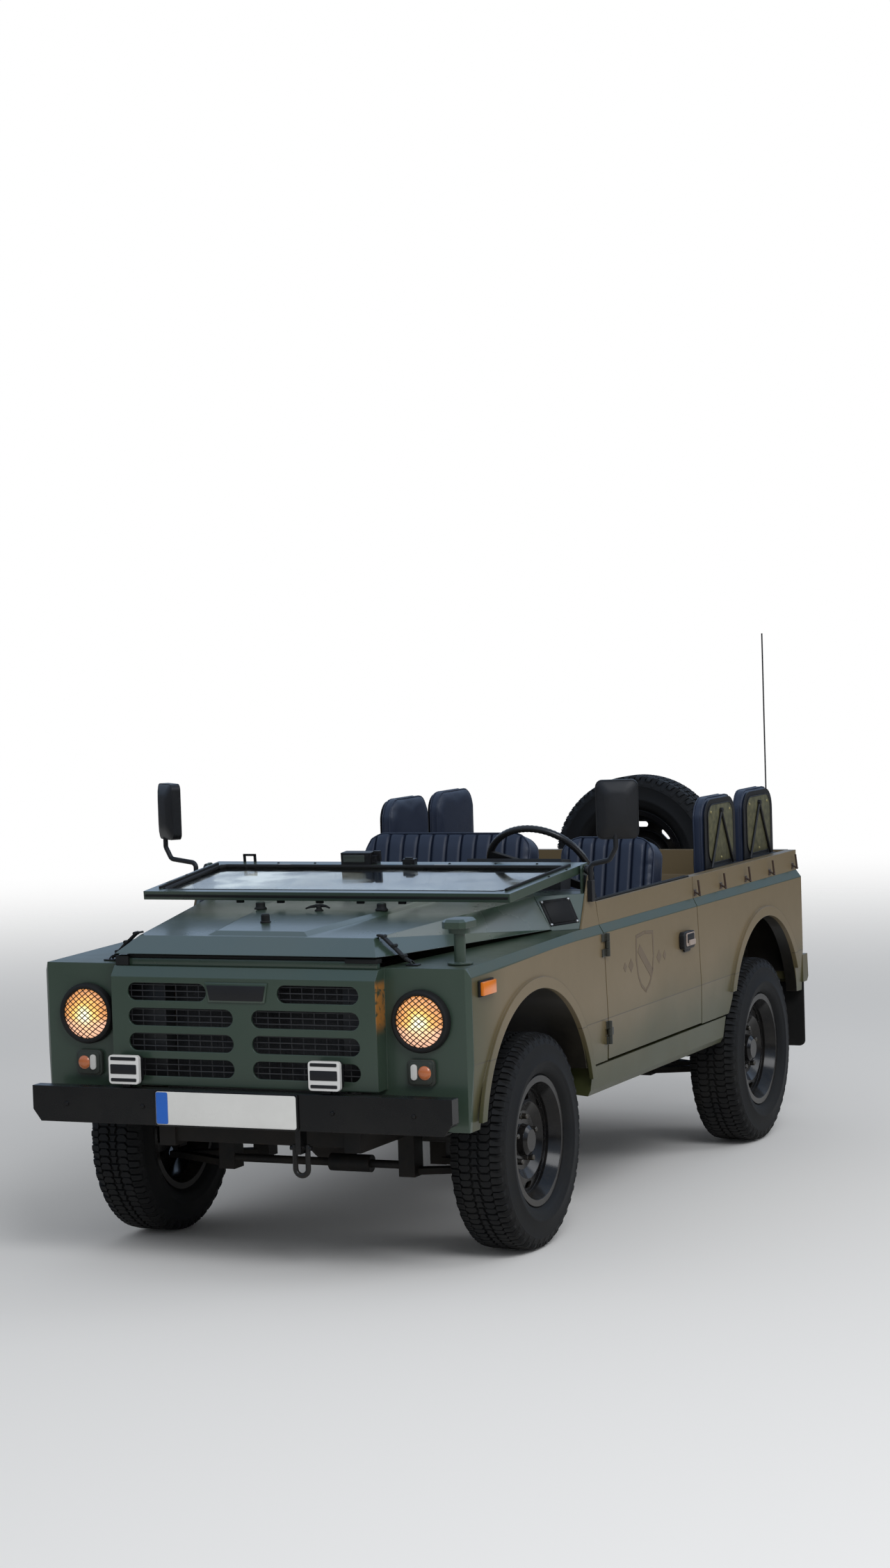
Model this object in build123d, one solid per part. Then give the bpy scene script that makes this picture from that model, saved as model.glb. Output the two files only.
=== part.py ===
from build123d import *
import math
import os

os.makedirs("parts", exist_ok=True)

# Driving sizes, in millimetres
# X points to the car's left, Y rearwards and Z up. Y is counted from the front axle
# here, and the finished pieces are shifted so that the whole car is centred.
wheelbase = 2300.0
body_half_width = 790.0
bumper_overhang = 730.0
tail_overhang = 580.0
shoulder = 1014.0
antenna_top = 2035.0

# Wheels and tyres; an inset is measured inwards from the body's side
front_wheel_inset = 107.5
rear_wheel_inset = 88.0
tyre_radius = 368.0
tyre_width = 215.0
tyre_bead_radius = 206.0
tyre_shoulder_radius = 349.0
tyre_tread_width = 176.0
rim_half_width = 84.0
rim_flange_radius = 222.0
rim_barrel_radius = 186.0
rim_wall = 6.0
disc_offset = 22.0
disc_thickness = 9.0
disc_slot_count = 8
disc_slot_ring = 152.0
disc_slot_length = 52.0
disc_slot_width = 24.0
hub_pilot_radius = 62.0
hub_cap_radius = 56.0
hub_cap_depth = 34.0

# Heights of the body lines; a rise is counted above the shoulder and a drop below it
sill_bottom = 450.0
sill_top = 550.0
panel_bottom = 556.0
crease = 708.0
shoulder_rise = 30.0
shoulder_inset = 14.0
sill_inset = 14.0
sill_depth = 130.0
rail_rise = 114.0
nose_drop = 23.0

# Wall thicknesses and shut lines
skin = 8.0
side_wall = 40.0
door_thickness = 50.0
shut_gap = 7.0
seat_gap = 0.3

# Nose
nose_setback = 130.0
nose_bottom = 490.0
nose_corner = 16.0
grille_stand = 70.0
grille_inset = 301.0
grille_drop = 390.0
grille_rise = 4.0
grille_bevel_height = 33.0
grille_bevel_depth = 27.0
slot_pitch = 84.3
slot_height = 59.0
top_slot_drop = 78.0
slot_end_inset = 62.0
slot_inner_end = 34.0
top_slot_inner_end = 131.0
headlamp_inset = 171.0
headlamp_drop = 164.0
headlamp_radius = 103.0

# Bumper and its tow shackle
bumper_inset = 17.0
bumper_bottom = 498.0
bumper_top = 618.0
bumper_depth = 52.0
bumper_corner_width = 30.0
bumper_corner_height = 40.0
shackle_x = 214.0
shackle_half = 23.0
shackle_radius = 9.0
shackle_length = 100.0
shackle_pin_drop = 62.0

# Wheel arches
front_arch_y = -41.0
front_arch_drop = 606.0
front_arch_radius = 483.0
rear_arch_shift = 85.0
rear_arch_drop = 549.0
rear_arch_radius = 432.0
arch_lip_width = 38.0
arch_lip_height = 10.0
wheelhouse_inset = 410.0
wheelhouse_open_z = 600.0

# Bonnet
hood_lip_setback = 22.0
hood_front_rise = 45.0
hood_front_inset = 307.0
hood_break_setback = 111.0
hood_break_rise = 98.0
hood_break_inset = 355.0
hood_break_low_inset = 287.0
hood_break_low_rise = 42.0
hood_rear_y = 347.0
hood_rear_rise = 151.0
hood_rear_inset = 163.0
hood_rear_low_inset = 98.0
hood_rear_low_rise = 36.0
plateau_front_inset = 600.0
plateau_rear_inset = 465.0
plateau_front_setback = 14.0
plateau_rear_setback = 47.0
plateau_height = 12.0
plateau_bevel = 28.0
hood_hinge_x = 420.0
hood_hinge_setback = 5.0
hood_hinge_rise = 13.0

# Cowl and windscreen
pillar_front_y = 420.0
pillar_rear_y = 556.0
pillar_inset = 74.0
pillar_tip_front = 505.0
pillar_tip_rear = 535.0
pillar_tip_rise = 62.0
firewall_y = 452.0
screen_pivot_y = 530.0
screen_pivot_rise = 80.0
screen_slope = 4.8
screen_length = 577.0
screen_tail = 60.0
screen_thickness = 30.0
screen_top_inset = 85.0
screen_base_inset = 52.0
screen_rail = 46.0
screen_base_rail = 72.0
screen_glass_thickness = 6.0
screen_pin_radius = 8.0
bracket_thickness = 8.0
stop_x = 233.0
stop_y = -60.0
stop_radius = 14.0

# Doors
door_front_top = 565.0
door_front_shoulder = 597.0
door_front_bottom = 630.0
door_rear_top = 1570.0
door_rear_shoulder = 1578.0
door_rear_bottom = 1618.0
door_hinge_y = 606.0
door_hinge_stand = 9.0
hinge_low_drop = 50.0
hinge_top_drop = 43.0
hinge_height = 82.0
hinge_radius = 9.0
hinge_pin_radius = 4.0
hinge_leaf = 6.0
hinge_leaf_width = 26.0
handle_rear_gap = 93.0
handle_length = 110.0
handle_drop = 113.0
handle_height = 56.0
handle_stand = 20.0

# Floor and load space
floor_level = 500.0
load_floor_level = 620.0
load_front_y = 1640.0
bench_inset = 238.0
bench_top = 905.0
tail_post_inset = 184.0
tailgate_bottom = 624.0
tailgate_hinge_z = 618.0
spare_standoff = 100.0
spare_z = 1066.0
carrier_radius = 70.0
hook_count = 5
hook_front_gap = 18.0
hook_rear_gap = 75.0
hook_rise = 55.0
hook_radius = 4.0
hook_stand = 22.0
hook_finger = 44.0
hook_base_width = 24.0
hook_base_height = 34.0
bumperette_inset = 122.0
bumperette_bottom = 570.0
bumperette_top = 685.0
bumperette_depth = 66.0
tail_lamp_bottom = 760.0
tail_lamp_height = 200.0
tail_lamp_width = 90.0
tail_lamp_inset = 50.0
tail_lamp_depth = 42.0

# Seats
driver_inset = 318.0
driver_width = 420.0
seat_aisle = 90.0
bench_side_gap = 218.0
seat_front_y = 1015.0
seat_rear_y = 1490.0
seat_box_top = 770.0
cushion_height = 110.0
back_height = 430.0
bench_back_rise = 18.0
back_thickness = 110.0
back_corner = 90.0
back_tilt = 14.0
jump_width = 410.0
jump_pitch = 475.0
jump_tail_gap = 40.0
jump_cushion_depth = 330.0
jump_cushion_height = 70.0
jump_back_rise = 513.0
jump_back_lift = 185.0
jump_back_thickness = 52.0
jump_back_gap = 36.0
jump_frame_height = 275.0
jump_frame_width = 366.0
jump_frame_drop = 23.0
jump_post_width = 28.0
jump_stay_radius = 5.0

# Steering and front suspension
steer_wheel_inset = 345.0
steer_wheel_y = 860.0
steer_wheel_rise = 201.0
steer_wheel_radius = 205.0
steer_rim_radius = 12.0
steer_hub_radius = 34.0
steer_hub_depth = 36.0
spoke_hub_half = 25.0
spoke_rim_half = 16.0
spoke_thickness = 10.0
spoke_turn = 25.0
column_slope = 35.0
column_length = 400.0
column_radius = 22.0
kingpin_low_offset = 42.5
kingpin_low_z = 300.0
kingpin_top_offset = 167.5
kingpin_top_rise = 454.0
strut_radius = 22.0
strut_foot_offset = 134.5
strut_foot_z = 470.0
upright_half = 45.0
upright_thickness = 30.0
upright_top_rise = 110.0
steer_arm_reach = 150.0
steer_arm_drop = 40.0
wishbone_spread = 150.0
wishbone_thickness = 22.0
strut_mount_radius = 40.0
strut_rod_radius = 9.0
ball_radius = 14.0
steering_bar_y = -150.0
steering_bar_radius = 14.0

# Dashboard
dash_depth = 164.0
dash_lip_drop = 37.0
dash_lip = 30.0
dash_height = 227.0
binnacle_half = 185.0
binnacle_rise = 103.0

# Driveline and chassis
rail_inset = 445.0
rail_half = 30.0
rail_bottom = 405.0
engine_half = 170.0
engine_front_y = -230.0
engine_rear_y = 330.0
engine_bottom = 530.0
engine_top_drop = 54.0
engine_foot_front_y = 60.0
engine_foot_length = 60.0
radiator_seat = 15.0
radiator_lift = 60.0
radiator_setback = 80.0
radiator_depth = 50.0
radiator_height = 390.0
gearbox_rear_y = 860.0
gearbox_half = 120.0
gearbox_rise = 240.0
gearbox_lift = 20.0
transfer_half = 100.0
transfer_gap = 6.0
diff_radius = 105.0
diff_tube_rise = 68.0
diff_tube_radius = 20.0
shaft_radius = 18.0
damper_inset = 60.0
damper_spread = 110.0
damper_foot_rise = 14.0
damper_body_top = 560.0
damper_body_radius = 24.0
damper_rod_radius = 12.0
exhaust_x = -240.0
exhaust_z = 350.0
exhaust_radius = 22.0
muffler_radius = 66.0
muffler_front_y = 1000.0
muffler_length = 450.0
hanger_radius = 8.0

# Pedals and levers
pedal_pitch = 95.0
pedal_first = 100.0
pedal_width = 56.0
pedal_height = 60.0
pedal_reach = 84.0
pedal_low = 110.0
pedal_arm_radius = 7.0
pedal_arm_drop = 40.0
pedal_arm_width = 20.0
gear_lever_height = 360.0
transfer_lever_height = 250.0
lever_pitch = 85.0
lever_lean = 70.0
lever_boot_radius = 38.0
lever_boot_height = 50.0
lever_radius = 7.0
gear_knob_radius = 24.0
transfer_knob_radius = 18.0
handbrake_reach = 250.0
handbrake_rise = 190.0
handbrake_grip = 100.0
handbrake_grip_radius = 15.0
handbrake_radius = 9.0
handbrake_box = 70.0

# Fittings
mirror_reach = 168.0
mirror_arm_y = 497.0
mirror_rise = 444.0
mirror_width = 150.0
mirror_height = 208.0
mirror_depth = 34.0
mirror_arm_radius = 9.0
left_arm_reach = 90.0
left_mirror_turn = 20.0
right_arm_reach = 124.0
right_mirror_turn = 41.0
post_inset = 78.0
post_y = -490.0
post_radius = 19.0
post_rise = 160.0
post_cap_width = 84.0
post_cap_length = 118.0
post_cap_height = 30.0
antenna_inset = 150.0
antenna_radius = 3.0
antenna_base_half = 25.0
antenna_base_depth = 32.0
antenna_base_height = 44.0
antenna_spring_radius = 12.0
antenna_spring_length = 70.0
antenna_setback = 18.0
fog_lamp_places = (-422.0, 320.0)
fog_lamp_width = 115.0
fog_lamp_height = 98.0
signal_inset = 174.0
signal_width = 98.0
signal_drop = 374.0
signal_height = 86.0
signal_depth = 30.0
marker_y = -478.0
marker_length = 110.0
marker_drop = 65.0
marker_height = 46.0

# Places worked out from the driving sizes
front_wheel_x = body_half_width - front_wheel_inset
rear_wheel_x = body_half_width - rear_wheel_inset
axle_z = tyre_radius
tail_y = wheelbase + tail_overhang
spare_front_y = tail_y + spare_standoff
spare_rear_y = spare_front_y + tyre_width
front_axle_y = (bumper_overhang - spare_rear_y) / 2
bumper_face = -bumper_overhang
nose_face = nose_setback - bumper_overhang
grille_face = nose_face - grille_stand
rear_arch_y = wheelbase + rear_arch_shift
front_arch_z = shoulder - front_arch_drop
rear_arch_z = shoulder - rear_arch_drop
fender_start = nose_face + nose_corner + 4
upper_half_width = body_half_width - shoulder_inset
sill_half_width = body_half_width - sill_inset
shoulder_high = shoulder + shoulder_rise
rail_top = shoulder + rail_rise
nose_shoulder = shoulder - nose_drop
inner_wall_x = upper_half_width - side_wall
door_inner_x = body_half_width - door_thickness
door_hinge_x = body_half_width + door_hinge_stand
hinge_levels = (crease - hinge_low_drop, shoulder - hinge_top_drop)
grille_half_width = body_half_width - grille_inset
grille_top = shoulder + grille_rise
grille_bottom = shoulder - grille_drop
top_slot_level = shoulder - top_slot_drop
slot_outer_end = grille_half_width - slot_end_inset
headlamp_x = body_half_width - headlamp_inset
headlamp_z = shoulder - headlamp_drop
signal_bottom = shoulder - signal_drop
bumper_half_width = body_half_width - bumper_inset
wheelhouse_inner_x = body_half_width - wheelhouse_inset
hood_front_y = grille_face + hood_lip_setback
hood_break_y = grille_face + hood_break_setback
hood_front_z = shoulder + hood_front_rise
hood_front_half = body_half_width - hood_front_inset
hood_break_z = shoulder + hood_break_rise
hood_break_half = body_half_width - hood_break_inset
hood_break_low_half = body_half_width - hood_break_low_inset
hood_break_low_z = shoulder + hood_break_low_rise
hood_rear_z = shoulder + hood_rear_rise
hood_rear_half = body_half_width - hood_rear_inset
hood_rear_low_half = body_half_width - hood_rear_low_inset
hood_rear_low_z = shoulder + hood_rear_low_rise
plateau_front_half = body_half_width - plateau_front_inset
plateau_rear_half = body_half_width - plateau_rear_inset
plateau_front_y = hood_break_y + plateau_front_setback
plateau_rear_y = hood_rear_y - plateau_rear_setback
hood_hinge_y = hood_rear_y + hood_hinge_setback
hood_hinge_z = hood_rear_z + hood_hinge_rise
pillar_inner_x = body_half_width - pillar_inset
screen_pivot_z = hood_rear_z + screen_pivot_rise
screen_top_half = body_half_width - screen_top_inset
screen_base_half = body_half_width - screen_base_inset
screen_half_at_pivot = screen_base_half - (screen_base_half - screen_top_half) * screen_tail / (
    screen_tail + screen_length)
bench_inner_x = body_half_width - bench_inset
tail_post_inner_x = body_half_width - tail_post_inset
driver_x = body_half_width - driver_inset
bench_left_x = driver_x - driver_width / 2 - seat_aisle
bench_right_x = bench_side_gap - body_half_width
bench_width = bench_left_x - bench_right_x
bench_x = (bench_left_x + bench_right_x) / 2
jump_front_y = tail_y - side_wall - jump_tail_gap - jump_width - jump_pitch
jump_back_outer_x = inner_wall_x - jump_back_gap
jump_back_top = bench_top + jump_back_rise
jump_back_bottom = bench_top + jump_back_lift
steer_wheel_x = body_half_width - steer_wheel_inset
steer_wheel_z = shoulder + steer_wheel_rise
kingpin_low = (front_wheel_x - kingpin_low_offset, kingpin_low_z)
kingpin_top = (front_wheel_x - kingpin_top_offset, front_arch_z + kingpin_top_rise)
strut_foot = (front_wheel_x - strut_foot_offset, strut_foot_z)
rail_x = body_half_width - rail_inset
radiator_half = rail_x - rail_half + radiator_seat
engine_top = shoulder - engine_top_drop
mirror_z = shoulder + mirror_rise
post_x = body_half_width - post_inset
post_top = shoulder + post_rise
antenna_x = body_half_width - antenna_inset
# End of the driving sizes


# Basic shapes
def block(x0, x1, y0, y1, z0, z1):
    """Box between two opposite corners."""
    middle = Pos((x0 + x1) / 2, (y0 + y1) / 2, (z0 + z1) / 2)
    return middle * Box(abs(x1 - x0), abs(y1 - y0), abs(z1 - z0))


def side_prism(points, x0, x1):
    """Outline of (y, z) points seen from the side, pushed from x0 to x1."""
    outline = Plane.YZ.offset(x0) * Polygon(*points, align=None)
    return extrude(outline, amount=x1 - x0, dir=(1, 0, 0))


def front_prism(points, y0, y1):
    """Outline of (x, z) points seen from the front, pushed from y0 to y1."""
    outline = Plane.XZ.offset(-y0) * Polygon(*points, align=None)
    return extrude(outline, amount=y1 - y0, dir=(0, 1, 0))


def plan_prism(points, z0, z1):
    """Outline of (x, y) points seen from above, pushed from z0 to z1."""
    outline = Plane.XY.offset(z0) * Polygon(*points, align=None)
    return extrude(outline, amount=z1 - z0, dir=(0, 0, 1))


def rod(start, end, radius):
    """Round bar between two points."""
    axis = Vector(*end) - Vector(*start)
    return Plane(origin=start, z_dir=axis) * Cylinder(
        radius, axis.length, align=(Align.CENTER, Align.CENTER, Align.MIN))


def pipe(points, radius, bend):
    """Round bar bent along straight runs."""
    path = FilletPolyline(*points, radius=bend)
    return sweep(Plane(origin=path @ 0, z_dir=path % 0) * Circle(radius), path=path)


def polyhedron(corners, faces):
    """Closed solid from named corners and flat faces."""
    shell = Shell([Face(Wire.make_polygon([corners[name] for name in face], close=True)) for face in faces])
    return Solid(shell)


def rounded(solid, axis, radius):
    """Rounds the edges of a box that run along one axis."""
    return fillet(solid.edges().filter_by(axis), radius)


def both_sides(shape):
    """The shape and its twin on the other side of the car."""
    return [shape, mirror(shape, about=Plane.YZ)]


def other_side(shape):
    return mirror(shape, about=Plane.YZ)


saved = {}


def save(name, *shapes):
    """Writes one node, shifted so that the whole car is centred over the origin."""
    solids = []
    for shape in shapes:
        solids.extend(shape.solids())
    moved = [Pos(0, front_axle_y, 0) * solid for solid in solids]
    node = Compound(children=moved) if len(moved) > 1 else moved[0]
    node.label = name
    saved[name] = node
    export_step(node, f"parts/{name}.step")


# Body side section: sill, crease, shoulder bevel and upper band, seen from the front
def body_section(inner_x, bottom, top):
    """(x, z) points of the left body side between two heights."""
    low_share = max(0.0, min(1.0, (crease - bottom) / (crease - sill_bottom)))
    points = [(inner_x, bottom), (body_half_width - sill_inset * low_share, bottom)]
    if bottom < crease:
        points.append((body_half_width, crease))
    points.append((body_half_width, shoulder))
    points.append((upper_half_width, shoulder_high))
    if top > shoulder_high:
        points.append((upper_half_width, top))
    points.append((inner_x, top))
    return points


def door_edge(z):
    """Y of the door's front edge below the shoulder."""
    share = (shoulder - z) / (shoulder - panel_bottom)
    return door_front_shoulder + share * (door_front_bottom - door_front_shoulder)


def fender_top(y):
    """Height of the fender's top, which rises from the nose to the door."""
    share = min(1.0, (y - fender_start) / (hood_rear_y - fender_start))
    return shoulder_high - nose_drop * (1 - share)


def arch_circle(y, z, radius, x0, x1):
    return rod((x0, y, z), (x1, y, z), radius)


def arch_lip(y, z, radius, bottom, front_limit, rear_limit):
    """Raised band round a wheel opening."""
    x0 = body_half_width - skin / 2
    x1 = body_half_width + arch_lip_height
    ring = arch_circle(y, z, radius + arch_lip_width, x0, x1) - arch_circle(y, z, radius, x0 - 1, x1 + 1)
    return ring & block(x0 - 1, x1 + 1, front_limit, rear_limit, bottom, z + 2 * radius)


# Floor: pan with its riser, sills and load floor, and the boxes under the front seats
sill_inner_x = body_half_width - sill_depth
floor_parts = block(-sill_inner_x, sill_inner_x, firewall_y + skin, load_front_y, floor_level,
                    floor_level + skin)
floor_parts += block(-inner_wall_x, inner_wall_x, load_front_y, load_front_y + skin, floor_level,
                     load_floor_level + skin)
floor_parts += block(-bench_inner_x, bench_inner_x, load_front_y, tail_y - side_wall - shut_gap,
                     load_floor_level, load_floor_level + skin)
sill_front_y = front_arch_y + front_arch_radius + 4
sill_rear_y = rear_arch_y - rear_arch_radius - 90
sill_outline = [(sill_inner_x, floor_level - 40), (sill_half_width - 10, sill_bottom),
                (sill_half_width, sill_bottom + 20), (sill_half_width + 6, sill_top),
                (sill_inner_x, sill_top)]
sill_length = [(sill_front_y, sill_bottom - 60), (sill_rear_y, sill_bottom - 60),
               (sill_rear_y + 42, sill_top + 10), (sill_front_y + 30, sill_top + 10)]
sill = front_prism(sill_outline, sill_front_y - 60, sill_rear_y + 90)
sill = sill & side_prism(sill_length, sill_inner_x - 70, body_half_width + 20)
for one_sill in both_sides(sill):
    floor_parts += one_sill
save("floor_pan", floor_parts)

seat_box_rows = (
    # middle, width
    (driver_x, driver_width - 50),
    (bench_x, bench_width - 50),
)
seat_boxes = []
for seat_x, seat_width in seat_box_rows:
    outer = block(seat_x - seat_width / 2, seat_x + seat_width / 2, seat_front_y + 40, seat_rear_y,
                  floor_level + skin + seat_gap, seat_box_top)
    hollow = block(seat_x - seat_width / 2 + skin, seat_x + seat_width / 2 - skin, seat_front_y + 40 + skin,
                   seat_rear_y - skin, floor_level, seat_box_top - skin)
    seat_boxes.append(outer - hollow)
save("seat_boxes", *seat_boxes)

# Chassis: two box rails, cross members, bumper brackets and the hitch
rail_front_y = nose_face + 20
rail_rear_y = tail_y - side_wall - 8
chassis = None
for side in (-1, 1):
    rail = block(side * rail_x - rail_half, side * rail_x + rail_half, rail_front_y, rail_rear_y,
                 rail_bottom, floor_level)
    bracket = block(side * rail_x - rail_half, side * rail_x + rail_half, bumper_face + skin + seat_gap,
                    rail_front_y + 60, bumper_bottom + skin + 2, bumper_top - skin - 40)
    bracket += block(side * rail_x - rail_half, side * rail_x + rail_half, rail_front_y, rail_front_y + 60,
                     floor_level - 5, bumper_top - skin - 40)
    chassis = rail + bracket if chassis is None else chassis + rail + bracket
cross_rows = (
    # middle y, width along y
    (nose_face + 60, 60.0),
    (muffler_front_y - 50, 70.0),
    (load_front_y - 60, 70.0),
    (rail_rear_y - 30, 60.0),
)
for cross_y, cross_width in cross_rows:
    chassis += block(-rail_x, rail_x, cross_y - cross_width / 2, cross_y + cross_width / 2,
                     rail_bottom + 15, floor_level)
hitch = block(-70, 70, rail_rear_y, tail_y + 30, rail_bottom + 10, floor_level - 10)
chassis += hitch
chassis += block(-sill_half_width + 76, sill_half_width - 76, tail_y - side_wall, tail_y + seat_gap,
                 rail_bottom + 60, panel_bottom - 6)
save("chassis_rails", chassis)

# Nose: headlamp panels, raised grille panel with four rows of slots
nose_back = fender_start


def nose_outline(inset):
    low_half = sill_half_width - inset
    half = body_half_width - inset
    top = nose_shoulder + shoulder_rise - inset
    return [(-low_half, nose_bottom), (-half, crease), (-half, nose_shoulder), (-half + shoulder_inset, top),
            (half - shoulder_inset, top), (half, nose_shoulder), (half, crease), (low_half, nose_bottom)]


nose = front_prism(nose_outline(0.0), nose_face, nose_back)
nose &= plan_prism([(-body_half_width + nose_corner, nose_face), (-body_half_width, nose_face + nose_corner),
                    (-body_half_width, nose_back), (body_half_width, nose_back),
                    (body_half_width, nose_face + nose_corner), (body_half_width - nose_corner, nose_face)],
                   nose_bottom - 1, shoulder_high)
nose_inside = front_prism(nose_outline(skin), nose_face + skin, nose_back + 1)
nose_inside &= plan_prism([(-body_half_width + nose_corner + skin, nose_face + skin),
                           (-body_half_width + skin, nose_face + nose_corner + skin / 2),
                           (-body_half_width + skin, nose_back + 1), (body_half_width - skin, nose_back + 1),
                           (body_half_width - skin, nose_face + nose_corner + skin / 2),
                           (body_half_width - nose_corner - skin, nose_face + skin)],
                          nose_bottom - 1, shoulder_high)
nose -= nose_inside
bevel_y = grille_face + grille_bevel_depth
bevel_z = grille_top - grille_bevel_height
grille_outer = side_prism([(grille_face, grille_bottom), (grille_face, bevel_z), (bevel_y, grille_top),
                           (nose_face + skin, grille_top), (nose_face + skin, grille_bottom)],
                          -grille_half_width, grille_half_width)
inside = skin * 0.4
grille_hollow = side_prism([(grille_face + skin, grille_bottom - 1), (grille_face + skin, bevel_z - inside),
                            (bevel_y + inside, grille_top - skin), (nose_face + skin + 1, grille_top - skin),
                            (nose_face + skin + 1, grille_bottom - 1)],
                           -grille_half_width + skin, grille_half_width - skin)
nose = nose + grille_outer - grille_hollow
for row in range(4):
    level = top_slot_level - row * slot_pitch
    inner = top_slot_inner_end if row == 0 else slot_inner_end
    for side in (-1, 1):
        length = slot_outer_end - inner
        slot = SlotOverall(length, slot_height)
        cut = Plane.XZ.offset(-grille_face + 5) * Pos(side * (slot_outer_end + inner) / 2, level) * slot
        nose -= extrude(cut, amount=skin + 10, dir=(0, 1, 0))
for side in (-1, 1):
    nose -= rod((side * headlamp_x, nose_face - 5, headlamp_z),
                (side * headlamp_x, nose_face + skin + 5, headlamp_z), headlamp_radius - 14)
nose -= block(-grille_half_width + 60, grille_half_width - 60, nose_face - 1, nose_face + skin + 1,
              nose_bottom - 1, bumper_top - 8)
nose -= block(-hood_front_half + 20, hood_front_half - 20, nose_face + skin + seat_gap, nose_back + 1,
              nose_shoulder - 20, shoulder_high)
save("nose_panel", nose)

# Fenders: outer skin with its arch, top with bevelled shoulder, and the wheelhouse behind the wheel
fender_end_top = door_front_shoulder - shut_gap
fender_end_bottom = door_front_bottom - shut_gap


def fender_section(drop, inset):
    """(x, z) points of the fender's form, lower by the drop and inside the skin by the inset."""
    inner = wheelhouse_inner_x - inset / 4
    low = nose_bottom - inset / 4
    return [(inner, low), (sill_half_width - inset, low), (body_half_width - inset, crease),
            (body_half_width - inset, shoulder - drop - inset * 0.2),
            (upper_half_width - inset, shoulder_high - drop - inset), (inner, shoulder_high - drop - inset)]


def fender_form(inset):
    stations = (
        # y, drop
        (fender_start - inset / 4, nose_drop),
        (hood_rear_y, 0.0),
        (door_front_bottom + inset / 4, 0.0),
    )
    sections = []
    for y, drop in stations:
        sections.append(Plane.XZ.offset(-y) * Polygon(*fender_section(drop, inset), align=None))
    return loft(sections, ruled=True)


fender = fender_form(0.0)
fender &= side_prism([(fender_start, nose_bottom), (front_arch_y, nose_bottom), (front_arch_y, panel_bottom),
                      (fender_end_bottom, panel_bottom), (fender_end_top, shoulder),
                      (fender_end_top - 8, shoulder_high + 5), (fender_start, shoulder_high + 5)],
                     0, body_half_width + 20)
fender -= arch_circle(front_arch_y, front_arch_z, front_arch_radius, wheelhouse_inner_x + skin,
                      body_half_width + 20)
cavity = fender_form(skin)
cavity -= arch_circle(front_arch_y, front_arch_z, front_arch_radius + skin, wheelhouse_inner_x - 20,
                      body_half_width)
fender -= cavity
# the edge under the bonnet follows the bonnet's side
hood_opening = [(0, fender_start - 1), (grille_half_width - 14, fender_start - 1),
                (hood_rear_low_half - 24, hood_rear_y + 6), (hood_rear_low_half - 24, firewall_y - 4),
                (pillar_inner_x + 4, firewall_y - 4), (pillar_inner_x + 4, door_front_bottom + 5),
                (0, door_front_bottom + 5)]
fender -= plan_prism(hood_opening, front_arch_z + front_arch_radius + skin, shoulder_high + 10)
fender -= block(wheelhouse_inner_x - 2, wheelhouse_inner_x + skin + 1, front_arch_y - 300, front_arch_y + 420,
                0, wheelhouse_open_z)
fender += arch_lip(front_arch_y, front_arch_z, front_arch_radius, panel_bottom - 40, fender_start,
                   fender_end_bottom)
# upright strip in front of the door, on the front pillar
cheek_low_z = shoulder_high + seat_gap
cheek_rear_x = upper_half_width - skin - seat_gap
low_front = Vector(hood_rear_low_half, hood_rear_y + shut_gap, cheek_low_z)
low_rear = Vector(cheek_rear_x, pillar_front_y, cheek_low_z)
top_front = Vector(hood_rear_half, hood_rear_y + shut_gap, hood_rear_z)
cheek_normal = (low_rear - low_front).cross(top_front - low_front).normalized()
cheek_top_y = low_front.Y - (cheek_normal.X * (cheek_rear_x - low_front.X)
                             + cheek_normal.Z * (hood_rear_z - low_front.Z)) / cheek_normal.Y
strip_rear = door_edge(shoulder_high) - shut_gap
fender += side_prism([(pillar_front_y, shoulder_high - skin / 2), (pillar_front_y, shoulder_high),
                      (cheek_top_y, hood_rear_z), (pillar_tip_front, hood_rear_z + pillar_tip_rise),
                      (pillar_tip_rear, hood_rear_z + pillar_tip_rise), (door_front_top - shut_gap, rail_top),
                      (strip_rear, shoulder_high), (strip_rear, shoulder_high - skin / 2)],
                     upper_half_width - skin, upper_half_width)
for level in hinge_levels:
    edge = door_edge(level + hinge_height / 2) - shut_gap
    for z0, z1 in ((level - hinge_height / 2, level - hinge_height / 6),
                   (level + hinge_height / 6, level + hinge_height / 2)):
        fender += rod((door_hinge_x, door_hinge_y, z0), (door_hinge_x, door_hinge_y, z1), hinge_radius)
        fender += block(body_half_width - skin + 1, body_half_width + hinge_leaf,
                        edge - hinge_leaf_width, edge - 1, z0, z1)
        fender += block(body_half_width + 1, body_half_width + hinge_leaf, edge - 2, door_hinge_y, z0, z1)
    fender += rod((door_hinge_x, door_hinge_y, level - hinge_height / 2),
                  (door_hinge_x, door_hinge_y, level + hinge_height / 2), hinge_pin_radius)
save("fender_left", fender)
save("fender_right", other_side(fender))

# Cowl: firewall, scuttle between bonnet and cabin, angled cheeks, front pillars and windscreen brackets
cowl_front_y = hood_rear_y + shut_gap
cowl_outline = [(-hood_rear_low_half, cheek_low_z), (-hood_rear_half, hood_rear_z),
                (hood_rear_half, hood_rear_z), (hood_rear_low_half, cheek_low_z)]
cowl = front_prism(cowl_outline, cowl_front_y, cowl_front_y + skin)
cowl += plan_prism([(-hood_rear_half, cowl_front_y), (hood_rear_half, cowl_front_y),
                    (cheek_rear_x, cheek_top_y), (cheek_rear_x, pillar_rear_y),
                    (-cheek_rear_x, pillar_rear_y), (-cheek_rear_x, cheek_top_y)],
                   hood_rear_z - skin, hood_rear_z)
cheek_face = Face(Wire.make_polygon([low_front, low_rear, Vector(cheek_rear_x, cheek_top_y, hood_rear_z),
                                     top_front], close=True))
cheek = extrude(cheek_face, amount=skin, dir=-cheek_normal)
cheek &= block(0, body_half_width, cowl_front_y, pillar_rear_y, cheek_low_z, hood_rear_z)
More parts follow.
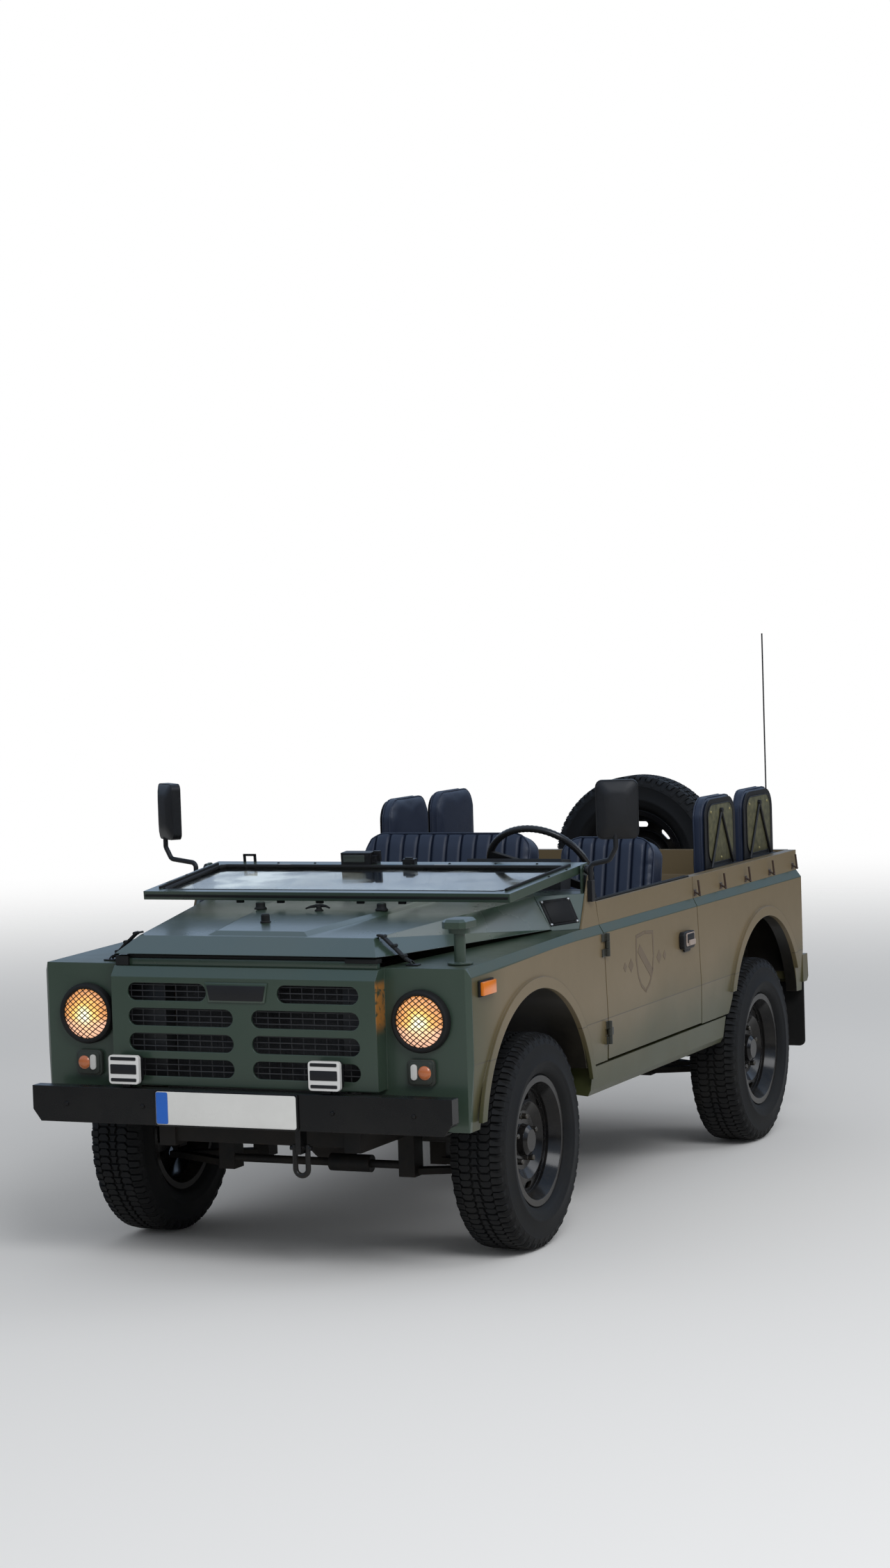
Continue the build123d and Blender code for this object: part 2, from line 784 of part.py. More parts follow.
pillar = side_prism([(pillar_front_y + 24, cheek_low_z), (cheek_top_y + 24, hood_rear_z - 1),
                     (pillar_rear_y, hood_rear_z - 1), (pillar_rear_y, cheek_low_z)],
                    pillar_inner_x, cheek_rear_x)
for one_side in both_sides(cheek) + both_sides(pillar):
    cowl += one_side
cowl += block(-hood_rear_low_half + skin, hood_rear_low_half - skin, firewall_y, firewall_y + skin,
              floor_level + seat_gap, hood_rear_z - skin)
cowl += block(-body_half_width + skin + 14, body_half_width - skin - 14, firewall_y, firewall_y + skin,
              panel_bottom + 6, shoulder - 14)
cowl += block(-body_half_width + skin + seat_gap, body_half_width - skin - seat_gap, firewall_y,
              firewall_y + skin, crease + 10, shoulder - 30)
for side in (-1, 1):
    middle = side * hood_hinge_x
    cowl += rod((middle - 40, hood_hinge_y, hood_hinge_z), (middle + 40, hood_hinge_y, hood_hinge_z),
                hinge_pin_radius)
    for end in (-1, 1):
        edge = middle + end * 36
        cowl += rod((edge - 4, hood_hinge_y, hood_hinge_z), (edge + 4, hood_hinge_y, hood_hinge_z), 8)
        cowl += side_prism([(hood_hinge_y, hood_hinge_z + 7), (hood_hinge_y + 30, hood_rear_z + 2),
                            (hood_hinge_y + 30, hood_rear_z - 4), (cowl_front_y + 1, hood_rear_z - 4),
                            (cowl_front_y + 1, hood_hinge_z - 4)], edge - 4, edge + 4)
pin_x = screen_half_at_pivot + 6
for side in (-1, 1):
    ear = block(side * pin_x, side * (pin_x + bracket_thickness), screen_pivot_y - 22, screen_pivot_y + 22,
                rail_top, screen_pivot_z + 20)
    ear = rounded(ear, Axis.X, 18.0)
    ear -= rod((side * (pin_x - 5), screen_pivot_y, screen_pivot_z),
               (side * (pin_x + bracket_thickness + 5), screen_pivot_y, screen_pivot_z),
               screen_pin_radius + seat_gap)
    cowl += ear
save("cowl", cowl)

# Bonnet: folded shell with a raised plateau, and the two rubber stops for the windscreen


def hood_form(inset, reach):
    """Bonnet's outer form, or its inside when inset; reach lowers the open bottom."""
    corners = {}
    for name, side in (("r", -1), ("l", 1)):
        corners["front_low_" + name] = (side * (hood_front_half - inset), hood_front_y + 1.6 * inset,
                                        hood_front_z - reach)
        corners["break_top_" + name] = (side * (hood_break_half - inset), hood_break_y + inset,
                                        hood_break_z - inset)
        corners["break_low_" + name] = (side * (hood_break_low_half - inset), hood_break_y + inset,
                                        hood_break_low_z - reach)
        corners["rear_top_" + name] = (side * (hood_rear_half - inset), hood_rear_y + inset,
                                       hood_rear_z - inset)
        corners["rear_low_" + name] = (side * (hood_rear_low_half - inset), hood_rear_y + inset,
                                       hood_rear_low_z - reach)
    faces = [
        ("front_low_r", "front_low_l", "break_top_l", "break_top_r"),
        ("break_top_r", "break_top_l", "rear_top_l", "rear_top_r"),
        ("rear_top_r", "rear_top_l", "rear_low_l", "rear_low_r"),
        ("front_low_r", "front_low_l", "break_low_l", "break_low_r"),
        ("break_low_r", "break_low_l", "rear_low_l", "rear_low_r"),
    ]
    for name in ("r", "l"):
        faces.append(("front_low_" + name, "break_top_" + name, "break_low_" + name))
        faces.append(("break_top_" + name, "rear_top_" + name, "rear_low_" + name))
        faces.append(("break_top_" + name, "rear_low_" + name, "break_low_" + name))
    return polyhedron(corners, faces)


def hood_level(y):
    """Height of the bonnet's top plane."""
    share = (y - hood_break_y) / (hood_rear_y - hood_break_y)
    return hood_break_z + share * (hood_rear_z - hood_break_z)


def plateau_form():
    """Raised middle of the bonnet, with bevelled edges."""
    corners = {}
    for end, y, half in (("front", plateau_front_y, plateau_front_half),
                         ("rear", plateau_rear_y, plateau_rear_half)):
        inward = plateau_bevel if end == "front" else -plateau_bevel
        for name, side in (("r", -1), ("l", 1)):
            corners[f"{end}_low_{name}"] = (side * half, y, hood_level(y) - 2)
            corners[f"{end}_top_{name}"] = (side * (half - plateau_bevel), y + inward,
                                            hood_level(y + inward) + plateau_height)
    faces = [
        ("front_low_r", "front_low_l", "rear_low_l", "rear_low_r"),
        ("front_top_r", "front_top_l", "rear_top_l", "rear_top_r"),
        ("front_low_r", "front_low_l", "front_top_l", "front_top_r"),
        ("rear_low_r", "rear_low_l", "rear_top_l", "rear_top_r"),
    ]
    for name in ("r", "l"):
        faces.append(("front_low_" + name, "rear_low_" + name, "rear_top_" + name))
        faces.append(("front_low_" + name, "rear_top_" + name, "front_top_" + name))
    return polyhedron(corners, faces)


hood = hood_form(0.0, 0.0) - hood_form(skin, 60.0) + plateau_form()
screen_underside = screen_pivot_z - screen_thickness / 2


def screen_level(y):
    """Height of the folded windscreen's underside."""
    slope = math.tan(math.radians(screen_slope))
    return screen_pivot_z - (screen_pivot_y - y) * slope - screen_thickness / 2 / math.cos(
        math.radians(screen_slope))


for side in (-1, 1):
    middle = side * hood_hinge_x
    hood += rod((middle - 30, hood_hinge_y, hood_hinge_z), (middle + 30, hood_hinge_y, hood_hinge_z), 8)
    hood += side_prism([(hood_hinge_y - 40, hood_rear_z - 6), (hood_hinge_y - 40, hood_rear_z + 4),
                        (hood_hinge_y, hood_hinge_z + 7), (hood_hinge_y - 7, hood_hinge_z),
                        (hood_rear_y - 1, hood_rear_z - 3)], middle - 30, middle + 30)
    hood -= rod((middle - 31, hood_hinge_y, hood_hinge_z), (middle + 31, hood_hinge_y, hood_hinge_z),
                hinge_pin_radius + seat_gap)
    hood += rod((side * stop_x, stop_y, hood_level(stop_y)),
                (side * stop_x, stop_y, screen_level(stop_y - stop_radius) - seat_gap), stop_radius)
save("hood", hood)

# Windscreen, folded forward: frame with its pivot pins, and the glass
screen_angle = Rot(screen_slope, 0, 0)
screen_place = Pos(0, screen_pivot_y, screen_pivot_z) * screen_angle
frame_outline = [(-screen_top_half, -screen_length), (screen_top_half, -screen_length),
                 (screen_base_half, screen_tail), (-screen_base_half, screen_tail)]
frame_hole = [(-screen_top_half + screen_rail, -screen_length + screen_rail),
              (screen_top_half - screen_rail, -screen_length + screen_rail),
              (screen_base_half - screen_rail, screen_tail - screen_base_rail),
              (-screen_base_half + screen_rail, screen_tail - screen_base_rail)]
frame = plan_prism(frame_outline, -screen_thickness / 2, screen_thickness / 2)
frame -= plan_prism(frame_hole, -screen_thickness, screen_thickness)
for side in (-1, 1):
    frame += rod((side * (screen_half_at_pivot - 20), 0, 0),
                 (side * (pin_x + bracket_thickness + 2), 0, 0), screen_pin_radius)
save("windscreen_frame", screen_place * frame)
glass = plan_prism(frame_hole, -screen_glass_thickness / 2, screen_glass_thickness / 2)
save("windscreen_glass", screen_place * glass)

# Dashboard with the instrument housing and the steering column
dash_front_y = pillar_rear_y + seat_gap
dash_rear_y = dash_front_y + dash_depth
dash_top = hood_rear_z - skin
dash_low = dash_top + skin - dash_height - skin
dash = side_prism([(dash_front_y, dash_top), (dash_rear_y, dash_top),
                   (dash_rear_y + dash_lip, dash_top - dash_lip_drop),
                   (dash_rear_y + dash_lip / 2, dash_low), (dash_front_y, dash_low)],
                  -pillar_inner_x + 6, pillar_inner_x - 6)
binnacle_top = hood_rear_z + binnacle_rise
binnacle = side_prism([(dash_rear_y - 40, dash_top - 5), (dash_rear_y - 20, binnacle_top),
                       (dash_rear_y + 70, binnacle_top - 10), (dash_rear_y + 50, dash_top - 57),
                       (dash_rear_y - 20, dash_top - 57)],
                      steer_wheel_x - 35 - binnacle_half, steer_wheel_x - 35 + binnacle_half)
column_dir = (0, math.cos(math.radians(column_slope)), math.sin(math.radians(column_slope)))
column_top = (steer_wheel_x, steer_wheel_y - 34 * column_dir[1], steer_wheel_z - 34 * column_dir[2])
column_foot = (steer_wheel_x, column_top[1] - column_length * column_dir[1],
               column_top[2] - column_length * column_dir[2])
save("dashboard", dash + binnacle + rod(column_foot, column_top, column_radius))

# Controls: pedals under the dashboard, gear and transfer levers and the handbrake
tunnel_x = bench_left_x - seat_aisle * 1.6
controls = []
pedal_face = firewall_y + pedal_reach
for k in range(3):
    pedal_x = driver_x - pedal_first + k * pedal_pitch
    arm = block(pedal_x - pedal_arm_width / 2, pedal_x + pedal_arm_width / 2, firewall_y + skin + seat_gap,
                firewall_y + skin + 24, dash_low - 2 * pedal_arm_drop, dash_low - pedal_arm_drop)
    arm += rod((pedal_x, firewall_y + skin + 2 * pedal_arm_radius, dash_low - 1.5 * pedal_arm_drop),
               (pedal_x, pedal_face - 4, floor_level + pedal_low + pedal_arm_drop), pedal_arm_radius)
    arm += block(pedal_x - pedal_width / 2, pedal_x + pedal_width / 2, pedal_face - 16, pedal_face,
                 floor_level + pedal_low, floor_level + pedal_low + pedal_height)
    controls.append(arm)
lever_rows = (
    # x, y of the foot, height, knob radius
    (tunnel_x, gearbox_rear_y - 40, gear_lever_height, gear_knob_radius),
    (tunnel_x + lever_pitch, gearbox_rear_y, transfer_lever_height, transfer_knob_radius),
)
lever_foot = floor_level + skin + seat_gap
for lever_x, lever_y, lever_height, knob in lever_rows:
    lever_tip = (lever_x, lever_y + lever_lean, lever_foot + lever_height)
    lever = rod((lever_x, lever_y, lever_foot), (lever_x, lever_y, lever_foot + lever_boot_height),
                lever_boot_radius)
    lever += rod((lever_x, lever_y, lever_foot + lever_boot_height - 10), lever_tip, lever_radius)
    lever += Pos(*lever_tip) * Sphere(knob)
    controls.append(lever)
brake_x = (bench_left_x + driver_x - driver_width / 2) / 2
brake_base_y = seat_front_y + handbrake_box - 10
brake_tip = Vector(brake_x, seat_front_y + handbrake_reach, lever_foot + handbrake_rise)
brake_heel = Vector(brake_x, brake_base_y, lever_foot + handbrake_box - 10)
grip_share = handbrake_grip / (handbrake_reach - handbrake_box + 10)
brake_grip = brake_tip + (brake_heel - brake_tip) * grip_share
handbrake = block(brake_x - 16, brake_x + 16, brake_base_y - 30, brake_base_y + 60, lever_foot,
                  lever_foot + handbrake_box)
handbrake += rod(brake_heel, brake_tip, handbrake_radius)
handbrake += rod(brake_grip, brake_tip, handbrake_grip_radius)
controls.append(handbrake)
save("controls", *controls)

# Steering wheel
wheel_plane = Plane(origin=(steer_wheel_x, steer_wheel_y, steer_wheel_z), x_dir=(1, 0, 0), z_dir=column_dir)
steering = wheel_plane * Torus(steer_wheel_radius - steer_rim_radius, steer_rim_radius)
steering += wheel_plane * Pos(0, 0, 2 - steer_hub_depth / 2) * Cylinder(steer_hub_radius, steer_hub_depth)
spoke_tip = steer_wheel_radius - steer_rim_radius
spoke_outline = Polygon((14, -spoke_hub_half), (spoke_tip, -spoke_rim_half), (spoke_tip, spoke_rim_half),
                        (14, spoke_hub_half), align=None)
for turn in (spoke_turn, spoke_turn + 180):
    spoke = extrude(spoke_outline, amount=spoke_thickness / 2, both=True)
    steering += wheel_plane * Rot(0, 0, turn) * Pos(0, 0, -8) * spoke
save("steering_wheel", steering)

# Doors
door_outline = [(door_front_bottom, panel_bottom + 4), (door_rear_bottom, panel_bottom + 4),
                (door_rear_shoulder, shoulder), (door_rear_top, rail_top),
                (door_front_top, rail_top), (door_front_shoulder, shoulder)]
door = front_prism(body_section(door_inner_x, sill_bottom, rail_top), door_front_top - 10,
                   door_rear_bottom + 10)
door &= side_prism(door_outline, door_inner_x - 5, body_half_width + 5)
for level in hinge_levels:
    z0 = level - hinge_height / 6 + 1
    z1 = level + hinge_height / 6 - 1
    barrel = rod((door_hinge_x, door_hinge_y, z0), (door_hinge_x, door_hinge_y, z1), hinge_radius)
    edge = door_edge(level - hinge_height / 2)
    leaf = block(body_half_width - 12, body_half_width + hinge_leaf, edge + 1, edge + hinge_leaf_width,
                 z0, z1)
    leaf += block(body_half_width + 1, body_half_width + hinge_leaf, door_hinge_y, edge + 2, z0, z1)
    door += barrel + leaf
    door -= rod((door_hinge_x, door_hinge_y, z0 - 1), (door_hinge_x, door_hinge_y, z1 + 1),
                hinge_pin_radius + seat_gap)
handle_rear_y = door_rear_shoulder - handle_rear_gap
handle_z = shoulder - handle_drop
handle = block(body_half_width - 2, body_half_width + handle_stand, handle_rear_y - handle_length,
               handle_rear_y, handle_z - handle_height / 2, handle_z + handle_height / 2)
door += fillet(handle.edges().filter_by(Axis.X), 12)
save("door_left", door)
save("door_right", other_side(door))

# Rear sides: wall with wheel arch, bench box over the wheel, and tail post
side_start_bottom = door_rear_bottom + shut_gap
side_start_shoulder = door_rear_shoulder + shut_gap
side_start_top = door_rear_top + shut_gap
wall_outline = [(side_start_bottom, panel_bottom), (rear_arch_y, panel_bottom), (tail_y, panel_bottom - 20),
                (tail_y, shoulder), (tail_y - 20, shoulder_high), (tail_y - 20, rail_top),
                (side_start_top, rail_top), (side_start_shoulder, shoulder)]
rear_wall = front_prism(body_section(inner_wall_x, sill_bottom, rail_top), side_start_top - 10, tail_y + 10)
rear_wall &= side_prism(wall_outline, inner_wall_x - 5, body_half_width + 5)
rear_wall -= arch_circle(rear_arch_y, rear_arch_z, rear_arch_radius, inner_wall_x - 5, body_half_width + 5)
flare_top = sill_top + 90
flare_front_y = rear_arch_y - rear_arch_radius
flare = [(flare_front_y - 90, sill_bottom - 10), (flare_front_y + 45, flare_top),
         (rear_arch_y, flare_top), (rear_arch_y, sill_bottom - 10)]
rear_wall -= side_prism(flare, inner_wall_x - 5, body_half_width + 5)
bench = block(bench_inner_x, inner_wall_x, load_front_y + skin, tail_y - side_wall, load_floor_level,
              bench_top)
bench -= block(bench_inner_x + skin, inner_wall_x + 1, load_front_y + 2 * skin, tail_y - side_wall - skin,
               load_floor_level - 1, bench_top - skin)
tail_post = block(tail_post_inner_x, inner_wall_x, tail_y - side_wall, tail_y, panel_bottom + 30, rail_top)
bumperette_inner_x = body_half_width - bumperette_inset
bumperette = side_prism([(tail_y - 4, bumperette_bottom), (tail_y + bumperette_depth - 20, bumperette_bottom),
                         (tail_y + bumperette_depth, bumperette_bottom + 18),
                         (tail_y + bumperette_depth - 8, bumperette_top), (tail_y - 4, bumperette_top)],
                        bumperette_inner_x, body_half_width)
rear_side = rear_wall + bench + tail_post + bumperette
rear_side += arch_lip(rear_arch_y, rear_arch_z, rear_arch_radius, flare_top, side_start_bottom, tail_y - 10)
# hooks for the cover's rope: a foot on the wall, a finger bent up and a short horn below
hook_z = shoulder + hook_rise
hook_first = side_start_top + hook_front_gap
hook_pitch = (tail_y - hook_rear_gap - hook_first) / (hook_count - 1)
for k in range(hook_count):
    hook_y = hook_first + k * hook_pitch
    elbow = (upper_half_width + hook_stand, hook_y, hook_z - hook_base_height / 2 + hook_radius)
    rear_side += block(upper_half_width - skin / 2, upper_half_width + hook_radius,
                       hook_y - hook_base_width / 2, hook_y + hook_base_width / 2,
                       hook_z - hook_base_height / 2, hook_z + hook_base_height / 2 - 10)
    rear_side += rod((upper_half_width, hook_y, hook_z), elbow, hook_radius)
    rear_side += rod(elbow, (upper_half_width + hook_stand - 6, hook_y, hook_z + hook_finger), hook_radius)
    rear_side += Pos(*elbow) * Sphere(hook_radius + 1)
save("rear_side_left", rear_side)
save("rear_side_right", other_side(rear_side))

# Tailgate with the carrier of the spare wheel
gate_half = tail_post_inner_x - shut_gap
tailgate = block(-gate_half, gate_half, tail_y - side_wall, tail_y, tailgate_bottom, rail_top)
disc_back_y = spare_front_y + tyre_width / 2 + disc_offset - disc_thickness - seat_gap
tailgate += rod((0, tail_y - side_wall / 2, spare_z), (0, disc_back_y, spare_z), carrier_radius)
tailgate += block(-110, 110, tail_y - 4, tail_y + 22, spare_z - 116, rail_top - 10)
save("tailgate", tailgate)


# Wheels, modelled about the origin with the outer side towards +X
def tyre_form():
    half = tyre_width / 2
    tread = tyre_tread_width / 2
    bead = rim_half_width - rim_wall - seat_gap
    profile = [(-bead, tyre_bead_radius), (-bead, rim_flange_radius + 2),
               (-half + 10, rim_flange_radius + 14), (-half, (tyre_bead_radius + tyre_radius) / 2),
               (-half + 8, tyre_shoulder_radius - 18), (-tread, tyre_radius - 5), (-tread + 18, tyre_radius)]
    mirrored = [(-x, r) for x, r in reversed(profile)]
    return revolve(Polygon(*profile, *mirrored, align=None), axis=Axis.X)


def rim_form(bore):
    half = rim_half_width
    outer = [(-half, rim_flange_radius), (-half, tyre_bead_radius - rim_wall - seat_gap),
             (-half + 40, rim_barrel_radius - rim_wall), (half - 40, rim_barrel_radius - rim_wall),
             (half, tyre_bead_radius - rim_wall - seat_gap), (half, rim_flange_radius),
             (half - rim_wall, rim_flange_radius), (half - rim_wall, tyre_bead_radius - seat_gap),
             (half - 34, tyre_bead_radius - seat_gap - 2), (half - 46, rim_barrel_radius),
             (-half + 46, rim_barrel_radius), (-half + 34, tyre_bead_radius - seat_gap - 2),
             (-half + rim_wall, tyre_bead_radius - seat_gap), (-half + rim_wall, rim_flange_radius)]
    barrel = revolve(Polygon(*outer, align=None), axis=Axis.X)
    disc_profile = [(disc_offset, bore), (disc_offset, 100), (disc_offset + 22, 130),
                    (disc_offset + 10, rim_barrel_radius - rim_wall + 2),
                    (disc_offset + 10 - disc_thickness, rim_barrel_radius - rim_wall + 2),
                    (disc_offset + 22 - disc_thickness, 130 - 4), (disc_offset - disc_thickness, 100 - 4),
                    (disc_offset - disc_thickness, bore)]
    disc = revolve(Polygon(*disc_profile, align=None), axis=Axis.X)
    slot = SlotOverall(disc_slot_length, disc_slot_width)
    for k in range(disc_slot_count):
        angle = 360.0 / disc_slot_count * k
        hole = Plane.YZ.offset(disc_offset - 40) * Rot(0, 0, angle) * Pos(0, disc_slot_ring) * slot
        disc -= extrude(hole, amount=100, dir=(1, 0, 0))
    cap = [(disc_offset - disc_thickness, 0), (disc_offset + hub_cap_depth, 0),
           (disc_offset + hub_cap_depth, hub_cap_radius - 18),
           (disc_offset + hub_cap_depth - 10, hub_cap_radius - 4),
           (disc_offset, hub_cap_radius), (disc_offset - disc_thickness, hub_cap_radius)]
    hub = revolve(Polygon(*cap, align=None), axis=Axis.X)
    return barrel + disc + hub


tyre = tyre_form()
rim = rim_form(hub_cap_radius - 2)
wheel_rows = (
    # name, x, y, turned round
    ("front_left", front_wheel_x, 0.0, False),
    ("front_right", -front_wheel_x, 0.0, True),
    ("rear_left", rear_wheel_x, wheelbase, False),
    ("rear_right", -rear_wheel_x, wheelbase, True),
)
for wheel_name, wheel_x, wheel_y, turned in wheel_rows:
    spin = Rot(0, 0, 180) if turned else Rot(0, 0, 0)
    place = Pos(wheel_x, wheel_y, axle_z) * spin
    save("tyre_" + wheel_name, place * tyre)
    save("rim_" + wheel_name, place * rim)
spare_place = Pos(0, spare_front_y + tyre_width / 2, spare_z) * Rot(0, 0, 90)
save("spare_tyre", spare_place * tyre)
save("spare_rim", spare_place * rim)

# Knuckles: upright, hub and strut, turning about the line from ball joint to top mount
hub_face_x = front_wheel_x + disc_offset - disc_thickness - seat_gap
upright_inner_x = kingpin_low[0] - upright_thickness - 5
upright = block(upright_inner_x, upright_inner_x + upright_thickness, -upright_half, upright_half,
                kingpin_low[1] + 20, axle_z + upright_top_rise)
upright += block(upright_inner_x, kingpin_low[0] + 22, -24, 24, kingpin_low[1] - 2, kingpin_low[1] + 24)
upright -= Pos(kingpin_low[0], 0, kingpin_low[1]) * Sphere(ball_radius + seat_gap)
hub = rod((kingpin_low[0] - 10, 0, axle_z), (hub_face_x, 0, axle_z), hub_pilot_radius - 12)
hub += rod((kingpin_low[0] + 18, 0, axle_z), (hub_face_x, 0, axle_z), hub_pilot_radius)
strut_leg = block(strut_foot[0] - 22, kingpin_low[0] - 10, -24, 24, strut_foot[1] - 40, strut_foot[1] + 12)
strut = rod((strut_foot[0], 0, strut_foot[1] - 40), (kingpin_top[0] + 10, 0, kingpin_top[1] - 180),
            strut_radius)
strut_rod = rod((kingpin_top[0] + 11, 0, kingpin_top[1] - 190), (kingpin_top[0], 0, kingpin_top[1]),
                strut_rod_radius)
steer_arm = block(kingpin_low[0] - 60, kingpin_low[0] - 12, upright_half - 5, steer_arm_reach,
                  axle_z - steer_arm_drop, axle_z - steer_arm_drop / 2)
strut_rod += Pos(kingpin_top[0], 0, kingpin_top[1]) * Sphere(ball_radius)
knuckle = upright + hub + strut_leg + strut + strut_rod + steer_arm
save("knuckle_left", knuckle)
save("knuckle_right", other_side(knuckle))

# Suspension: front wishbones with ball joints and strut mounts, rear arms with hub carriers
suspension = []


def wishbone(tip_x, low, high):
    """Flat A shape from two brackets under the rail to the ball joint."""
    arm = block(tip_x - 30, tip_x + 10, -24, 24, low, high)
    for end in (-1, 1):
        arm += plan_prism([(rail_x, end * wishbone_spread), (rail_x, end * (wishbone_spread - 50)),
                           (tip_x - 30, end * -10), (tip_x - 10, end * -10), (tip_x - 10, end * 24),
                           (tip_x - 30, end * 24)], low, high)
        arm += block(rail_x - rail_half, rail_x + rail_half, end * (wishbone_spread + 15),
                     end * (wishbone_spread - 55), low - 4, rail_bottom - seat_gap)
    return arm


front_arm = wishbone(kingpin_low[0], kingpin_low[1] - 20 - wishbone_thickness, kingpin_low[1] - 20)
front_arm += rod((kingpin_low[0], 0, kingpin_low[1] - 22), (kingpin_low[0], 0, kingpin_low[1]), 8)
front_arm += Pos(kingpin_low[0], 0, kingpin_low[1]) * Sphere(ball_radius)
mount_top = front_arch_z + math.sqrt(front_arch_radius ** 2 - (40 - front_arch_y) ** 2) - seat_gap
strut_mount = rod((kingpin_top[0], 0, kingpin_top[1] - 2), (kingpin_top[0], 0, mount_top),
                  strut_mount_radius)
strut_mount -= Pos(kingpin_top[0], 0, kingpin_top[1]) * Sphere(ball_radius + seat_gap)
rear_arm = Pos(0, wheelbase, 0) * wishbone(rear_wheel_x - 80, kingpin_low[1] - 26, kingpin_low[1] - 2)
rear_arm += block(rear_wheel_x - 96, rear_wheel_x - 66, wheelbase - 45, wheelbase + 45, kingpin_low[1] - 26,
                  axle_z + 70)
rear_hub_face = rear_wheel_x + disc_offset - disc_thickness - seat_gap
rear_arm += rod((rear_wheel_x - 80, wheelbase, axle_z), (rear_hub_face, wheelbase, axle_z), hub_pilot_radius)
suspension.extend(both_sides(front_arm))
suspension.extend(both_sides(strut_mount))
suspension.extend(both_sides(rear_arm))
bar_half = rail_x - rail_half - seat_gap
steering_bar = rod((-bar_half, steering_bar_y, kingpin_low_z - 7),
                   (bar_half, steering_bar_y, kingpin_low_z - 7), steering_bar_radius)
steering_bar += rod((54, steering_bar_y, kingpin_low_z - 7), (208, steering_bar_y, kingpin_low_z - 7), 30)
suspension.append(steering_bar)
save("suspension_arms", *suspension)

# Rear dampers, two a side
dampers = []
for damper_y in (wheelbase - damper_spread, wheelbase + damper_spread):
    foot = (rail_x + rail_half + damper_inset, damper_y, kingpin_low[1] + damper_foot_rise)
    damper = rod(foot, (foot[0], damper_y, damper_body_top), damper_body_radius)
    damper += rod(foot, (foot[0], damper_y, load_floor_level - seat_gap), damper_rod_radius)
    dampers.extend(both_sides(damper))
save("dampers", *dampers)

# Driveline: engine, radiator, gearbox, shafts and differentials
engine = block(-engine_half, engine_half, engine_front_y, engine_rear_y, engine_bottom, engine_top)
for side in (-1, 1):
    engine += block(side * (engine_half - 10), side * (rail_x + 10), engine_foot_front_y,
                    engine_foot_front_y + engine_foot_length, floor_level + seat_gap,
                    engine_bottom + rail_half)
save("engine_block", engine)
radiator_y = nose_face + radiator_setback
radiator_low = floor_level + radiator_lift
save("radiator", block(-radiator_half, radiator_half, radiator_y, radiator_y + radiator_depth, radiator_low,
                       radiator_low + radiator_height))
gearbox_low = rail_bottom + gearbox_lift
gearbox = block(-gearbox_half, gearbox_half, engine_rear_y + seat_gap, firewall_y - transfer_gap,
                gearbox_low, floor_level + gearbox_rise)
gearbox += block(-transfer_half, transfer_half, firewall_y - transfer_gap - 4, gearbox_rear_y, gearbox_low,
                 floor_level - transfer_gap)
save("gearbox", gearbox)
differentials = []
for axle_y in (0.0, wheelbase):
    housing = Pos(0, axle_y, axle_z) * Sphere(diff_radius)
    housing += rod((-rail_x + rail_half + seat_gap, axle_y, axle_z + diff_tube_rise),
                   (rail_x - rail_half - seat_gap, axle_y, axle_z + diff_tube_rise), diff_tube_radius)
    differentials.append(housing)
save("differentials", *differentials)
shafts = []
for axle_y, outer_x in ((0.0, kingpin_low[0] - 60), (wheelbase, rear_wheel_x - 96 - seat_gap)):
    shafts.extend(both_sides(rod((diff_radius + seat_gap, axle_y, axle_z), (outer_x, axle_y, axle_z),
                                 shaft_radius)))
save("shafts", *shafts)

# Seats
driver_cushion = block(driver_x - driver_width / 2, driver_x + driver_width / 2, seat_front_y, seat_rear_y,
                       seat_box_top + seat_gap, seat_box_top + cushion_height)
driver_cushion = fillet(driver_cushion.edges().filter_by(Axis.Z), 40)


def seat_back(middle, width, rise):
    back = Box(width, back_thickness, back_height + rise, align=(Align.CENTER, Align.MIN, Align.MIN))
    back = fillet(back.edges().filter_by(Axis.Y).group_by(Axis.Z)[-1], back_corner)
    back_base = seat_box_top + cushion_height + 8
    return Pos(middle, seat_rear_y - back_thickness, back_base) * Rot(-back_tilt, 0, 0) * back


save("driver_seat", driver_cushion, seat_back(driver_x, driver_width, 0))
bench_cushion = block(bench_x - bench_width / 2, bench_x + bench_width / 2, seat_front_y, seat_rear_y,
                      seat_box_top + seat_gap, seat_box_top + cushion_height)
bench_cushion = fillet(bench_cushion.edges().filter_by(Axis.Z), 40)
save("passenger_bench", bench_cushion, seat_back(bench_x, bench_width, bench_back_rise))

